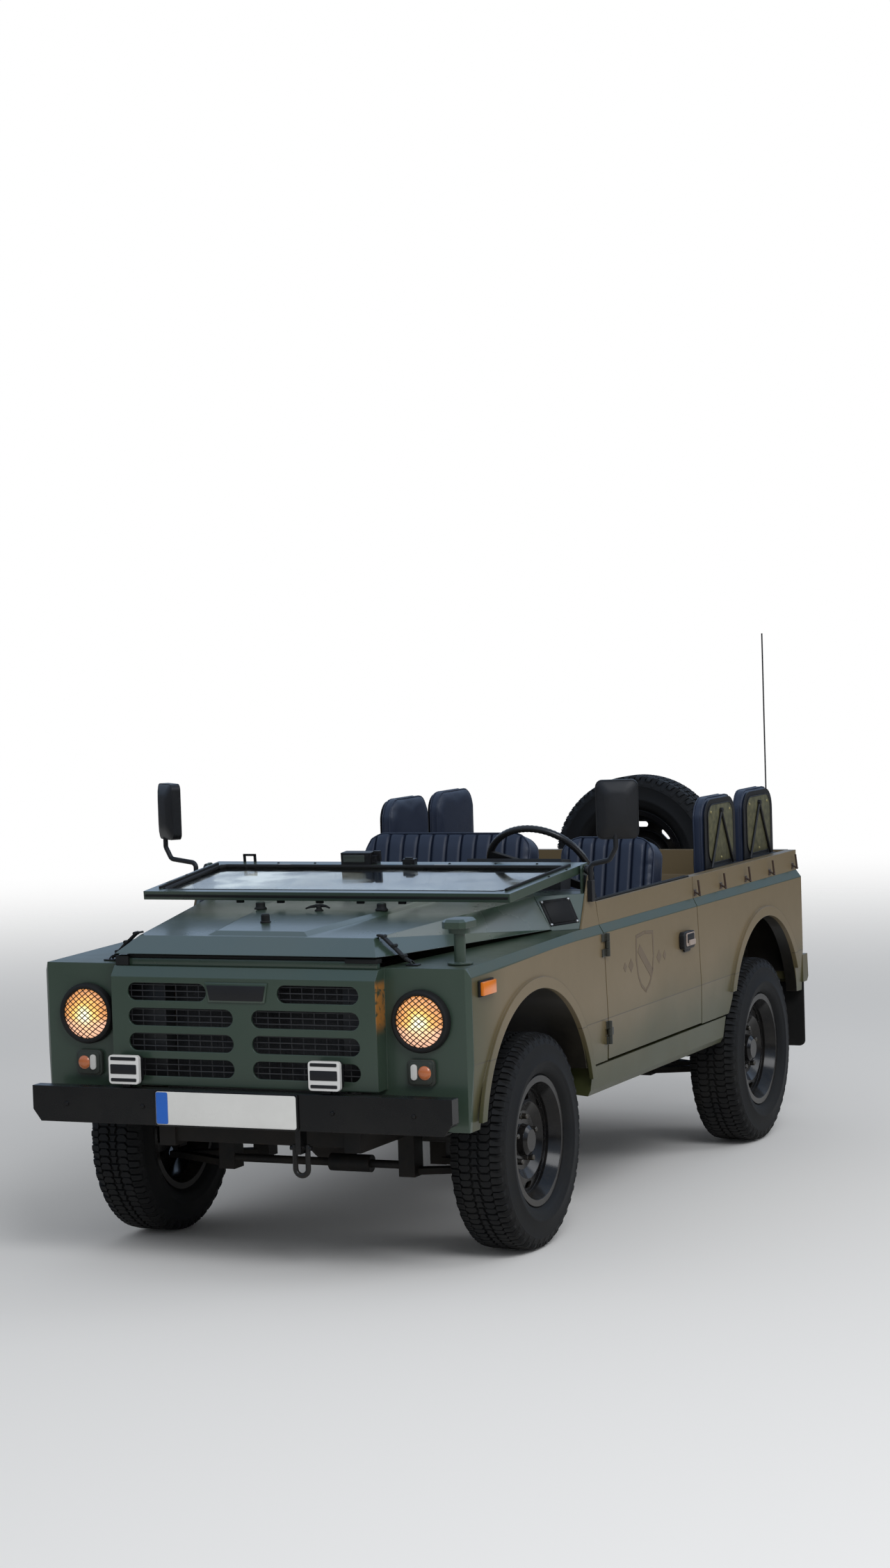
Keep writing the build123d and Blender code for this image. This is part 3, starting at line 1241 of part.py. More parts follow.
# Side-facing seats over the rear wheels: cushions and backs, and the frames that carry the backs
jump_seats = []
jump_frames = []
frame_x = jump_back_outer_x + seat_gap
frame_top = jump_back_top - jump_frame_drop
frame_low = frame_top - jump_frame_height
for k in range(2):
    y0 = jump_front_y + k * jump_pitch
    cushion_x = jump_back_outer_x - 4
    cushion = block(cushion_x - jump_cushion_depth, cushion_x, y0, y0 + jump_width, bench_top + seat_gap,
                    bench_top + jump_cushion_height)
    pad = block(jump_back_outer_x - jump_back_thickness, jump_back_outer_x, y0, y0 + jump_width,
                jump_back_bottom, jump_back_top)
    pad = fillet(pad.edges().filter_by(Axis.X).group_by(Axis.Z)[-1], 100)
    jump_seats.extend(both_sides(cushion))
    jump_seats.extend(both_sides(pad))
    margin = (jump_width - jump_frame_width) / 2
    middle_y = y0 + jump_width / 2
    plate = block(frame_x, frame_x + 4, y0 + margin, y0 + jump_width - margin, frame_low, frame_top)
    plate = fillet(plate.edges().filter_by(Axis.X).group_by(Axis.Z)[-1], 80)
    plate += block(frame_x, frame_x + jump_post_width, y0 + margin + 30, y0 + jump_width - margin - 30,
                   frame_low - 22, frame_low + 8)
    for side in (-1, 1):
        post_middle = middle_y + side * (jump_frame_width / 2 - 60)
        plate += block(frame_x, frame_x + jump_post_width, post_middle - jump_post_width / 2,
                       post_middle + jump_post_width / 2, bench_top + seat_gap, frame_low - 10)
        plate += rod((frame_x + 11, middle_y, frame_top - 50),
                     (frame_x + 11, middle_y + side * (jump_frame_width / 2 - 50), frame_low),
                     jump_stay_radius)
    plate += rod((frame_x + 1, middle_y, frame_top - 50), (frame_x + 17, middle_y, frame_top - 50), 10)
    jump_frames.extend(both_sides(plate))
save("jump_seats", *jump_seats)
save("jump_seat_frames", *jump_frames)

# Front bumper with its tow bracket and shackle
bumper_outline = [(-bumper_half_width, bumper_bottom + bumper_corner_height),
                  (-bumper_half_width, bumper_top), (bumper_half_width, bumper_top),
                  (bumper_half_width, bumper_bottom + bumper_corner_height),
                  (bumper_half_width - bumper_corner_width, bumper_bottom),
                  (-bumper_half_width + bumper_corner_width, bumper_bottom)]
bumper = front_prism(bumper_outline, bumper_face, bumper_face + bumper_depth)
bumper -= block(-bumper_half_width + skin, bumper_half_width - skin, bumper_face + skin,
                bumper_face + bumper_depth + 1, bumper_bottom + skin, bumper_top - skin)
shackle_y = bumper_face + bumper_depth - 14
pin_z = bumper_bottom - shackle_pin_drop
bumper += block(shackle_x - 9, shackle_x + 9, shackle_y - 24, shackle_y + 24, pin_z - 18, bumper_bottom + 2)
bow_z = pin_z - shackle_length + shackle_half + shackle_radius
for side in (-1, 1):
    bumper += rod((shackle_x + side * shackle_half, shackle_y, bow_z),
                  (shackle_x + side * shackle_half, shackle_y, pin_z + 12), shackle_radius)
bow = Plane(origin=(shackle_x, shackle_y, bow_z), z_dir=(0, 1, 0)) * Torus(shackle_half, shackle_radius)
bumper += bow & block(shackle_x - 60, shackle_x + 60, shackle_y - 30, shackle_y + 30, bow_z - 60, bow_z)
pin_reach = shackle_half + 16
bumper += rod((shackle_x - pin_reach, shackle_y, pin_z), (shackle_x + pin_reach, shackle_y, pin_z),
              shackle_radius - 1)
save("front_bumper", bumper)

# Lamps
headlamps = []
for side in (-1, 1):
    x = side * headlamp_x
    lamp = rod((x, nose_face - 26, headlamp_z), (x, nose_face - seat_gap, headlamp_z), headlamp_radius)
    lamp += rod((x, nose_face - 20, headlamp_z), (x, nose_face + 60, headlamp_z), headlamp_radius - 16)
    headlamps.append(lamp)
save("headlamps", *headlamps)
fog_lamps = []
for x in fog_lamp_places:
    body = block(x - fog_lamp_width / 2, x + fog_lamp_width / 2, bumper_face + 4, grille_face - 8,
                 bumper_top + 12, bumper_top + 12 + fog_lamp_height)
    body = fillet(body.edges().filter_by(Axis.Y), 14)
    body += block(x - 16, x + 16, bumper_face + 16, bumper_face + 40, bumper_top, bumper_top + 13)
    fog_lamps.append(body)
save("fog_lamps", *fog_lamps)
signal_lamps = []
signal_x = body_half_width - signal_inset
lamp_outer_x = body_half_width - tail_lamp_inset
marker_top = shoulder - marker_drop + marker_height / 2
for side in (-1, 1):
    signal = block(side * (signal_x - signal_width / 2), side * (signal_x + signal_width / 2),
                   nose_face - signal_depth, nose_face - seat_gap, signal_bottom,
                   signal_bottom + signal_height)
    signal_lamps.append(fillet(signal.edges().filter_by(Axis.Y), 16))
    signal_lamps.append(block(side * (body_half_width + seat_gap), side * (body_half_width + 22),
                              marker_y - marker_length / 2, marker_y + marker_length / 2,
                              marker_top - marker_height, marker_top))
    signal_lamps.append(block(side * (lamp_outer_x - tail_lamp_width), side * lamp_outer_x, tail_y + seat_gap,
                              tail_y + tail_lamp_depth, tail_lamp_bottom,
                              tail_lamp_bottom + tail_lamp_height))
save("signal_lamps", *signal_lamps)

# Mirrors: bracket on the pillar, bent arm and turned head
mirrors = []
mirror_rows = (
    # side, reach of the arm, turn of the head
    (1, left_arm_reach, left_mirror_turn),
    (-1, right_arm_reach, right_mirror_turn),
)
arm_foot_x = upper_half_width + mirror_arm_radius + 2 * seat_gap
for side, arm_reach, turn in mirror_rows:
    arm_x = body_half_width + arm_reach
    angle = math.radians(turn)
    head_reach = mirror_width / 2 * math.cos(angle) + mirror_depth / 2 * math.sin(angle)
    head_x = body_half_width + mirror_reach - head_reach
    head_y = mirror_arm_y + 26 - (arm_x - head_x) * math.tan(angle)
    arm = pipe([(arm_foot_x, mirror_arm_y, hood_rear_z - 20), (arm_foot_x, mirror_arm_y, hood_rear_z + 101),
                (arm_x - 24, mirror_arm_y + 5, hood_rear_z + 116),
                (arm_x, mirror_arm_y + 8, hood_rear_z + 160), (arm_x, mirror_arm_y + 8, mirror_z + 10)],
               mirror_arm_radius, 20)
    foot = block(arm_foot_x - mirror_arm_radius, arm_foot_x + mirror_arm_radius, mirror_arm_y - 14,
                 mirror_arm_y + 14, hood_rear_z - 30, hood_rear_z + 45)
    head = Box(mirror_width, mirror_depth, mirror_height)
    head = fillet(head.edges().filter_by(Axis.Y), 24)
    mirror_one = arm + foot + Pos(head_x, head_y, mirror_z) * Rot(0, 0, turn) * head
    mirrors.append(mirror_one if side > 0 else other_side(mirror_one))
save("mirrors", *mirrors)

# Antenna, mudflaps and air intake post
antenna_y = tail_y + antenna_setback
antenna_foot = tail_lamp_bottom + tail_lamp_height + seat_gap
antenna_low = antenna_foot + antenna_base_height
antenna = rod((antenna_x, antenna_y, antenna_low + 6), (antenna_x, antenna_y, antenna_top), antenna_radius)
antenna += rod((antenna_x, antenna_y, antenna_low - 4),
               (antenna_x, antenna_y, antenna_low - 4 + antenna_spring_length), antenna_spring_radius)
antenna += block(antenna_x - antenna_base_half, antenna_x + antenna_base_half, tail_y + seat_gap,
                 tail_y + antenna_base_depth, antenna_foot, antenna_low)
save("antenna", antenna)
flap_top = bumperette_bottom - seat_gap
flap = side_prism([(tail_y + 14, flap_top), (tail_y + 22, flap_top), (tail_y + 22, axle_z - 70),
                   (tail_y + 14, axle_z - 70)], rear_wheel_x - 110, body_half_width - 6)
flap = fillet(flap.edges().filter_by(Axis.Y).group_by(Axis.Z)[0], 24)
save("mudflaps", *both_sides(flap))
post_foot = fender_top(post_y + 42) + seat_gap
post = rod((post_x, post_y, post_foot), (post_x, post_y, post_top - post_cap_height), post_radius)
post += rod((post_x, post_y, post_foot), (post_x, post_y, post_foot + 6), 42)
cap = block(post_x - post_cap_width / 2, post_x + post_cap_width / 2, post_y - post_cap_length / 2,
            post_y + post_cap_length / 2, post_top - post_cap_height, post_top)
cap = chamfer(cap.edges().filter_by(Axis.Z), 16)
cap = chamfer(cap.faces().sort_by(Axis.Z)[-1].edges(), 9)
post += cap + rod((post_x, post_y, post_top - post_cap_height - 18), (post_x, post_y, post_top - 5),
                  post_radius + 17)
save("intake_post", post)

# Exhaust
muffler_rear_y = muffler_front_y + muffler_length
exhaust = pipe([(exhaust_x + 10, engine_rear_y - 30, exhaust_z + 30),
                (exhaust_x, muffler_front_y - 300, exhaust_z), (exhaust_x, muffler_rear_y + 50, exhaust_z),
                (exhaust_x, load_front_y + 260, exhaust_z + 30)], exhaust_radius, 120)
exhaust += rod((exhaust_x, muffler_front_y, exhaust_z), (exhaust_x, muffler_rear_y, exhaust_z),
               muffler_radius)
for hanger_y in (muffler_front_y - 50, load_front_y - 60):
    exhaust += rod((exhaust_x, hanger_y, exhaust_z + 10), (exhaust_x, hanger_y, rail_bottom + 15 - seat_gap),
                   hanger_radius)
save("exhaust", exhaust)

whole = Compound(children=list(saved.values()))
size = whole.bounding_box()
print("low", size.min, "high", size.max)
print("nodes", len(saved))
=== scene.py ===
import math

import bmesh
import bpy
from mathutils import Matrix, Vector
from mathutils.bvhtree import BVHTree


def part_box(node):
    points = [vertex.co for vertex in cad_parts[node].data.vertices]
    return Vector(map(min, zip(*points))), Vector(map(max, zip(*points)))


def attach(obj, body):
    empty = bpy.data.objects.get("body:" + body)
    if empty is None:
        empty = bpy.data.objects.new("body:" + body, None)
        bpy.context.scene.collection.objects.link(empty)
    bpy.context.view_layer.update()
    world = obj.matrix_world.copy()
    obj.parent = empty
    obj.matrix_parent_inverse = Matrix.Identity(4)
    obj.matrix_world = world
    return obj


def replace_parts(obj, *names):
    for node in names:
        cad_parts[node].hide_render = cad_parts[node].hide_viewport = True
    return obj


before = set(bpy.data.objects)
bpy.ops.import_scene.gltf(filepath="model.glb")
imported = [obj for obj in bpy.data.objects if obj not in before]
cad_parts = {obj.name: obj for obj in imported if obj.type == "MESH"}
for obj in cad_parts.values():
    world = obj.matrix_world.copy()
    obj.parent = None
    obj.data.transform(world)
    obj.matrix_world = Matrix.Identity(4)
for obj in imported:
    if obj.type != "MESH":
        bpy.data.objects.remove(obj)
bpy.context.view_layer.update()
scene = bpy.context.scene

# Camera, floor and light
# The camera stands at the left front of the car, a little above the driver's eye, as in the
# photograph, over a pale floor that fades out. The studio is in metres; the car's own pieces are
# drawn in millimetres, counted from the front axle.
def feed(socket, value):
    """Links an output to an input, or sets the input's value."""
    if hasattr(value, "is_output"):
        socket.id_data.links.new(value, socket)
    else:
        socket.default_value = (*value, 1) if socket.type == "RGBA" else value


def dress_node(node, **values):
    """Sets a node's properties, or feeds its inputs by name."""
    for key, value in values.items():
        if hasattr(node, key):
            setattr(node, key, value)
        else:
            feed(node.inputs[key.replace("_", " ")], value)
    return node


def new_node(tree, kind, **values):
    return dress_node(tree.nodes.new(kind), **values)


def mix_colour(tree, factor, first, second):
    node = new_node(tree, "ShaderNodeMix", data_type="RGBA")
    for number, value in ((0, factor), (6, first), (7, second)):
        feed(node.inputs[number], value)
    return node.outputs[2]


def ramp_value(tree, value, low, high, out_low=0.0, out_high=1.0):
    """Leads a value smoothly from one range to another."""
    return new_node(tree, "ShaderNodeMapRange", interpolation_type="SMOOTHSTEP", Value=value, From_Min=low,
                    From_Max=high, To_Min=out_low, To_Max=out_high).outputs["Result"]


def new_material(name):
    mat = bpy.data.materials.new(name)
    mat.use_nodes = True
    return mat, mat.node_tree, mat.node_tree.nodes["Principled BSDF"]


rim_low, rim_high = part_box("rim_front_left")
axle_y = (rim_low.y + rim_high.y) / 2
yaw, pitch, roll = math.radians(24.08), math.radians(3.06), math.radians(-1.81)
forward = Vector((-math.sin(yaw) * math.cos(pitch), math.cos(yaw) * math.cos(pitch), -math.sin(pitch)))
level_side = Vector((math.cos(yaw), math.sin(yaw), 0))
level_up = level_side.cross(forward)
right_way = math.cos(roll) * level_side + math.sin(roll) * level_up
up_way = -math.sin(roll) * level_side + math.cos(roll) * level_up
camera_data = bpy.data.cameras.new("camera")
camera_data.sensor_fit = "VERTICAL"
camera_data.sensor_height = 36
camera_data.lens = 74.1285
camera_data.clip_end = 200
camera = bpy.data.objects.new("camera", camera_data)
scene.collection.objects.link(camera)
turn = Matrix((right_way, up_way, -forward)).transposed()
camera.matrix_world = Matrix.Translation((4.942, axle_y - 10.032, 2.169)) @ turn.to_4x4()
scene.camera = camera
scene.view_settings.view_transform = "Standard"

floor_radius = 24
floor_mesh = bpy.data.meshes.new("floor")
floor_turns = [k * math.pi / 24 for k in range(48)]
floor_mesh.from_pydata([(floor_radius * math.cos(a), floor_radius * math.sin(a), -0.002) for a in floor_turns], [],
                       [tuple(range(len(floor_turns)))])
floor = bpy.data.objects.new("floor", floor_mesh)
scene.collection.objects.link(floor)
floor_material, tree, shader = new_material("pale_floor")
dress_node(shader, Base_Color=(0.9, 0.9, 0.9), Roughness=0.9, Specular_IOR_Level=0.1)
place = new_node(tree, "ShaderNodeTexCoord").outputs["Object"]
distance = new_node(tree, "ShaderNodeVectorMath", operation="LENGTH", Vector=place)
blend = new_node(tree, "ShaderNodeMixShader", Fac=ramp_value(tree, distance.outputs["Value"], 4.5, 16))
feed(blend.inputs[1], shader.outputs["BSDF"])
feed(blend.inputs[2], new_node(tree, "ShaderNodeBsdfTransparent").outputs["BSDF"])
feed(tree.nodes["Material Output"].inputs["Surface"], blend.outputs["Shader"])
floor_mesh.materials.append(floor_material)

world = bpy.data.worlds.new("studio")
scene.world = world
world.use_nodes = True
tree = world.node_tree
rays = new_node(tree, "ShaderNodeLightPath").outputs
heading = new_node(tree, "ShaderNodeTexCoord").outputs["Generated"]
heading_axes = new_node(tree, "ShaderNodeSeparateXYZ", Vector=heading)
sky = new_node(tree, "ShaderNodeValToRGB", Fac=heading_axes.outputs["Z"])
sky_rows = ((0.02, (0.06, 0.062, 0.065, 1)), (0.30, (0.55, 0.72, 0.98, 1)))
for stop, (position, value) in zip(sky.color_ramp.elements, sky_rows):
    stop.position, stop.color = position, value
ray_rows = (
    # kind of ray, colour that it meets
    ("Is Glossy Ray", sky.outputs["Color"]),
    ("Is Camera Ray", (1, 1, 1)),
    ("Is Transmission Ray", (1, 1, 1)),
)
met = (0.43, 0.44, 0.45)
for ray_kind, ray_colour in ray_rows:
    met = mix_colour(tree, rays[ray_kind], met, ray_colour)
feed(tree.nodes["Background"].inputs["Color"], met)

lamp_rows = (
    # name, place, width, height, watts
    ("key_light", (6.0, -7.0, 7.5), 5.0, 4.0, 430.0),
    ("side_light", (7.5, 3.5, 4.5), 4.0, 3.0, 110.0),
)
for lamp_name, lamp_place, lamp_width, lamp_height, watts in lamp_rows:
    light = bpy.data.lights.new(lamp_name, "AREA")
    light.shape = "RECTANGLE"
    light.size = lamp_width
    light.size_y = lamp_height
    light.energy = watts
    lamp_object = bpy.data.objects.new(lamp_name, light)
    scene.collection.objects.link(lamp_object)
    lamp_object.location = lamp_place
    lamp_object.rotation_euler = (Vector((0, 0, 0.6)) - Vector(lamp_place)).to_track_quat("-Z", "Y").to_euler()


# Chassis, axles and driveline
# Box rails, cross members, arms and dampers of welded and forged steel, painted black; the engine
# and gearbox are grey cast iron and the exhaust is bare steel gone brown. All collect road dust.
def math_node(tree, operation, first, second=0.0, clamp=False):
    node = new_node(tree, "ShaderNodeMath", operation=operation, use_clamp=clamp)
    feed(node.inputs[0], first)
    feed(node.inputs[1], second)
    return node.outputs[0]


# worn edges, settled dust and fine grain, shared by every painted and moulded surface; the edge mask
# also takes in hollow creases, which the navy vinyl's darker edge tone turns into painted shade
wear_group = bpy.data.node_groups.new("surface_wear", "ShaderNodeTree")
for label, default in (("Scale", 5.0), ("Edge Radius", 0.004), ("Dust Top", 0.75), ("Grain Scale", 900.0)):
    wear_group.interface.new_socket(name=label, in_out="INPUT", socket_type="NodeSocketFloat").default_value = default
for label in ("Mottle", "Edges", "Dust", "Grain"):
    wear_group.interface.new_socket(name=label, in_out="OUTPUT", socket_type="NodeSocketFloat")
wear_group.interface.new_socket(name="Soft Normal", in_out="OUTPUT", socket_type="NodeSocketVector")
given = new_node(wear_group, "NodeGroupInput").outputs
place = new_node(wear_group, "ShaderNodeTexCoord").outputs["Object"]
broad = new_node(wear_group, "ShaderNodeTexNoise", Vector=place, Scale=given["Scale"], Detail=5.0, Roughness=0.6)
fine = new_node(wear_group, "ShaderNodeTexNoise", Vector=place, Scale=46.0, Detail=6.0, Roughness=0.7)
grain = new_node(wear_group, "ShaderNodeTexNoise", Vector=place, Scale=given["Grain Scale"], Detail=2.0)
soft = new_node(wear_group, "ShaderNodeBevel", samples=6, Radius=given["Edge Radius"]).outputs["Normal"]
facing = new_node(wear_group, "ShaderNodeNewGeometry").outputs["Normal"]
agree = new_node(wear_group, "ShaderNodeVectorMath", operation="DOT_PRODUCT")
feed(agree.inputs[0], soft)
feed(agree.inputs[1], facing)
sharp = ramp_value(wear_group, agree.outputs["Value"], 0.985, 0.8)
chipped = ramp_value(wear_group, fine.outputs["Fac"], 0.5, 0.68)
axes = new_node(wear_group, "ShaderNodeSeparateXYZ", Vector=place)
tilt = new_node(wear_group, "ShaderNodeSeparateXYZ", Vector=facing)
low_share = ramp_value(wear_group, axes.outputs["Z"], given["Dust Top"], 0.1)
lying = ramp_value(wear_group, tilt.outputs["Z"], 0.3, 1.0, 0.0, 0.4)
settled = math_node(wear_group, "ADD", low_share, lying, True)
patchy = ramp_value(wear_group, math_node(wear_group, "ADD", broad.outputs["Fac"],
                                          math_node(wear_group, "MULTIPLY", fine.outputs["Fac"], 0.5)), 0.5, 1.0)
new_node(wear_group, "NodeGroupOutput", Mottle=broad.outputs["Fac"], Grain=grain.outputs["Fac"], Soft_Normal=soft,
         Edges=math_node(wear_group, "MULTIPLY", sharp, chipped),
         Dust=math_node(wear_group, "MULTIPLY", settled, patchy))


def coated(name, base, deep, edge, dust=(0.30, 0.25, 0.18), dust_share=0.5, rough=0.45, spread=0.12, bump=0.08,
           scale=5.0, grain_scale=900.0, radius=0.004, colour=None, metal=0.0, coat=0.0, tone_share=0.5,
           gloss=0.3):
    """Finish with two mottled tones, bare or worn edges (on the navy vinyl, painted shade in its creases) and dust low
    down; colour overrides the base.
    """
    mat, tree, shader = new_material(name)
    wear = new_node(tree, "ShaderNodeGroup", node_tree=wear_group, Scale=scale, Edge_Radius=radius,
                    Grain_Scale=grain_scale).outputs
    tone = math_node(tree, "MULTIPLY", ramp_value(tree, wear["Mottle"], 0.3, 0.7), tone_share)
    shaded = mix_colour(tree, tone, colour(tree) if colour else base, deep)
    edge_wear_and_shade = mix_colour(tree, wear["Edges"], shaded, edge)
    dusted = math_node(tree, "MULTIPLY", wear["Dust"], dust_share)
    roughness = ramp_value(tree, wear["Mottle"], 0.25, 0.75, rough - spread / 2, rough + spread / 2)
    relief = new_node(tree, "ShaderNodeBump", Strength=bump, Distance=0.001, Height=wear["Grain"],
                      Normal=wear["Soft Normal"])
    dress_node(shader, Base_Color=mix_colour(tree, dusted, edge_wear_and_shade, dust), Normal=relief.outputs["Normal"],
               Roughness=math_node(tree, "ADD", roughness, math_node(tree, "MULTIPLY", dusted, 0.35), True),
               Metallic=metal, Coat_Weight=coat, Coat_Roughness=0.12, Specular_IOR_Level=gloss)
    return mat


def clad(mat, *names):
    """Gives a CAD node its finish."""
    for node_name in names:
        for one_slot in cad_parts[node_name].material_slots:
            one_slot.material = mat


chassis_black = coated("chassis_black", (0.011, 0.011, 0.011), (0.022, 0.018, 0.015), (0.07, 0.035, 0.02),
                       dust=(0.06, 0.05, 0.038), rough=0.55, bump=0.25, dust_share=0.3, gloss=0.15)
cast_iron = coated("cast_iron", (0.05, 0.05, 0.05), (0.028, 0.026, 0.024), (0.12, 0.11, 0.10), rough=0.6,
                   dust=(0.10, 0.08, 0.06), dust_share=0.35, bump=0.7, grain_scale=420.0, metal=0.4)
brown_steel = coated("brown_steel", (0.09, 0.065, 0.05), (0.05, 0.028, 0.018), (0.18, 0.15, 0.13), rough=0.6,
                     dust=(0.10, 0.08, 0.06), dust_share=0.3, bump=0.4, scale=14.0, metal=0.6)
clad(chassis_black, "chassis_rails", "suspension_arms", "dampers", "knuckle_left", "knuckle_right")
clad(cast_iron, "engine_block", "gearbox", "differentials", "shafts")
clad(brown_steel, "exhaust")


# Tyres
# All-terrain tyres of black rubber: a smooth carcass with a raised rim guard, five rows of tread
# blocks split by sipes, and shoulder lugs that run down onto the side wall.
def add_lathe(bm, profile, origin, axis, steps=32, closed=False):
    """Turns (radius, height) points round an axis."""
    axis = Vector(axis).normalized()
    side = axis.orthogonal().normalized()
    across = axis.cross(side)
    rings = []
    for radius, height in profile:
        middle = Vector(origin) + axis * height
        if radius < 1e-6:
            rings.append([bm.verts.new(middle)])
        else:
            rings.append([bm.verts.new(middle + radius * (math.cos(2 * math.pi * k / steps) * side
                                                          + math.sin(2 * math.pi * k / steps) * across))
                          for k in range(steps)])
    pairs = list(zip(rings, rings[1:]))
    if closed:
        pairs.append((rings[-1], rings[0]))
    for a, b in pairs:
        for k in range(steps):
            n = (k + 1) % steps
            corners = [a[k % len(a)], a[n % len(a)], b[n % len(b)], b[k % len(b)]]
            corners = [c for i, c in enumerate(corners) if c not in corners[:i]]
            if len(corners) > 2:
                bm.faces.new(corners)


def add_prism(bm, outline, axis, a, b):
    """Pushes an outline along x, y or z; the outline's points are the other two coordinates in order."""
    rows = []
    for level in (a, b):
        ring = []
        for u, v in outline:
            ring.append(bm.verts.new({"x": (level, u, v), "y": (u, level, v), "z": (u, v, level)}[axis]))
        rows.append(ring)
    bm.faces.new(rows[0])
    bm.faces.new(rows[1])
    for k in range(len(outline)):
        n = (k + 1) % len(outline)
        bm.faces.new((rows[0][k], rows[0][n], rows[1][n], rows[1][k]))


def add_tube(bm, points, radius, steps=10, closed=False):
    """Round bar along points; radius may be a list, one for each point."""
    points = [Vector(p) for p in points]
    count = len(points)
    rings = []
    side = None
    for k, point in enumerate(points):
        before = points[(k - 1) % count] if closed or k else point
        after = points[(k + 1) % count] if closed or k < count - 1 else point
        along = (after - before).normalized()
        side = along.orthogonal().normalized() if side is None else (side - along * side.dot(along)).normalized()
        across = along.cross(side)
        size = radius[k] if isinstance(radius, list) else radius
        rings.append([bm.verts.new(point + size * (math.cos(2 * math.pi * i / steps) * side
                                                   + math.sin(2 * math.pi * i / steps) * across))
                      for i in range(steps)])
    for k in range(count if closed else count - 1):
        a, b = rings[k], rings[(k + 1) % count]
        for i in range(steps):
            n = (i + 1) % steps
            bm.faces.new((a[i], a[n], b[n], b[i]))
    if not closed:
        bm.faces.new(rings[0])
        bm.faces.new(rings[-1])


def smoothed(mesh, angle=32.0):
    """Smooth shading that stops at edges sharper than an angle."""
    mesh.polygons.foreach_set("use_smooth", [True] * len(mesh.polygons))
    mesh.set_sharp_from_angle(angle=math.radians(angle))
    return mesh


def finish_mesh(bm, name, mat, bevel=0.0, segments=2, angle=32.0):
    """Closes a drawing in millimetres into a mesh in metres, with rounded sharp edges."""
    bmesh.ops.remove_doubles(bm, verts=bm.verts, dist=0.02)
    bmesh.ops.recalc_face_normals(bm, faces=bm.faces)
    if bevel:
        sharp_edges = [e for e in bm.edges if len(e.link_faces) == 2 and e.calc_face_angle(0) > math.radians(angle)]
        bmesh.ops.bevel(bm, geom=sharp_edges, offset=bevel, segments=segments, affect="EDGES", profile=0.6,
                        clamp_overlap=True)
    bmesh.ops.transform(bm, matrix=Matrix.Translation((0, axle_y, 0)) @ Matrix.Scale(0.001, 4), verts=bm.verts)
    mesh = bpy.data.meshes.new(name)
    bm.to_mesh(mesh)
    bm.free()
    mesh.materials.append(mat)
    return smoothed(mesh, angle)


def put(name, mesh, body):
    """Makes a piece of a finished mesh and lets it ride on its body."""
    piece = bpy.data.objects.new(name, mesh)
    scene.collection.objects.link(piece)
    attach(piece, body)
    return piece


def made(name, bm, mat, body, bevel=0.0, segments=2, angle=32.0):
    """Makes a piece of a drawing in millimetres."""
    return put(name, finish_mesh(bm, name, mat, bevel, segments, angle), body)


def small_part(bm, name):
    """Mesh in metres of a part that is drawn in millimetres and repeated."""
    bmesh.ops.transform(bm, matrix=Matrix.Scale(0.001, 4), verts=bm.verts)
    mesh = bpy.data.meshes.new(name)
    bm.to_mesh(mesh)
    bm.free()
    return mesh


def part_tree(name, spread):
    """Geometry tree that repeats one part; spread is ring, row or points."""
    tree = bpy.data.node_groups.new(name, "GeometryNodeTree")
    for label, kind in (("Geometry", "Geometry"), ("Part", "Object"), ("Count", "Int"), ("Step", "Vector"),
                        ("Start", "Vector"), ("Finish", "Material")):
        tree.interface.new_socket(name=label, in_out="INPUT", socket_type="NodeSocket" + kind)
    tree.interface.new_socket(name="Geometry", in_out="OUTPUT", socket_type="NodeSocketGeometry")
    given = new_node(tree, "NodeGroupInput").outputs
    source = new_node(tree, "GeometryNodeObjectInfo", transform_space="ORIGINAL", Object=given["Part"])
    spots = given["Geometry"]
    if spread != "points":
        spots = new_node(tree, "GeometryNodeMeshLine", Count=given["Count"], Start_Location=given["Start"],
                         Offset=given["Step"] if spread == "row" else (0, 0, 0)).outputs["Mesh"]
    placed = new_node(tree, "GeometryNodeInstanceOnPoints", Points=spots, Instance=source.outputs["Geometry"])
    if spread == "ring":
        angle = new_node(tree, "ShaderNodeVectorMath", operation="SCALE", Vector=given["Step"],
                         Scale=new_node(tree, "GeometryNodeInputIndex").outputs["Index"])
        feed(placed.inputs["Rotation"], angle.outputs["Vector"])
    real = new_node(tree, "GeometryNodeRealizeInstances", Geometry=placed.outputs["Instances"])
    dress = new_node(tree, "GeometryNodeSetMaterial", Geometry=real.outputs["Geometry"], Material=given["Finish"])
    new_node(tree, "NodeGroupOutput", Geometry=dress.outputs["Geometry"])
    return tree


ring_tree = part_tree("parts_in_a_ring", "ring")
row_tree = part_tree("parts_in_a_row", "row")
point_tree = part_tree("parts_on_points", "points")


def repeated(name, tree, part_mesh, mat, count=1, step=(0, 0, 0), start=(0, 0, 0), points=((0, 0, 0),)):
    """Runs a tree on one part and gives back the plain mesh."""
    part = bpy.data.objects.new(name + "_part", part_mesh)
    carrier_mesh = bpy.data.meshes.new(name + "_carrier")
    carrier_mesh.from_pydata([tuple(p) for p in points], [], [])
    carrier = bpy.data.objects.new(name + "_carrier", carrier_mesh)
    scene.collection.objects.link(part)
    scene.collection.objects.link(carrier)
    modifier = carrier.modifiers.new("repeat", "NODES")
    modifier.node_group = tree
    wanted = {"Part": part, "Count": count, "Step": step, "Start": start, "Finish": mat}
    for item in tree.interface.items_tree:
        if item.in_out == "INPUT" and item.name in wanted:
            modifier[item.identifier] = wanted[item.name]
    graph = bpy.context.evaluated_depsgraph_get()
    graph.update()
    mesh = bpy.data.meshes.new_from_object(carrier.evaluated_get(graph), depsgraph=graph)
    mesh.name = name
    carrier.modifiers.remove(modifier)
    bpy.data.objects.remove(carrier)
    bpy.data.objects.remove(part)
    return smoothed(mesh)


def metres(x, y, z):
    """Point of the car's drawing as a point of the frame."""
    return Vector((x / 1000, y / 1000 + axle_y, z / 1000))


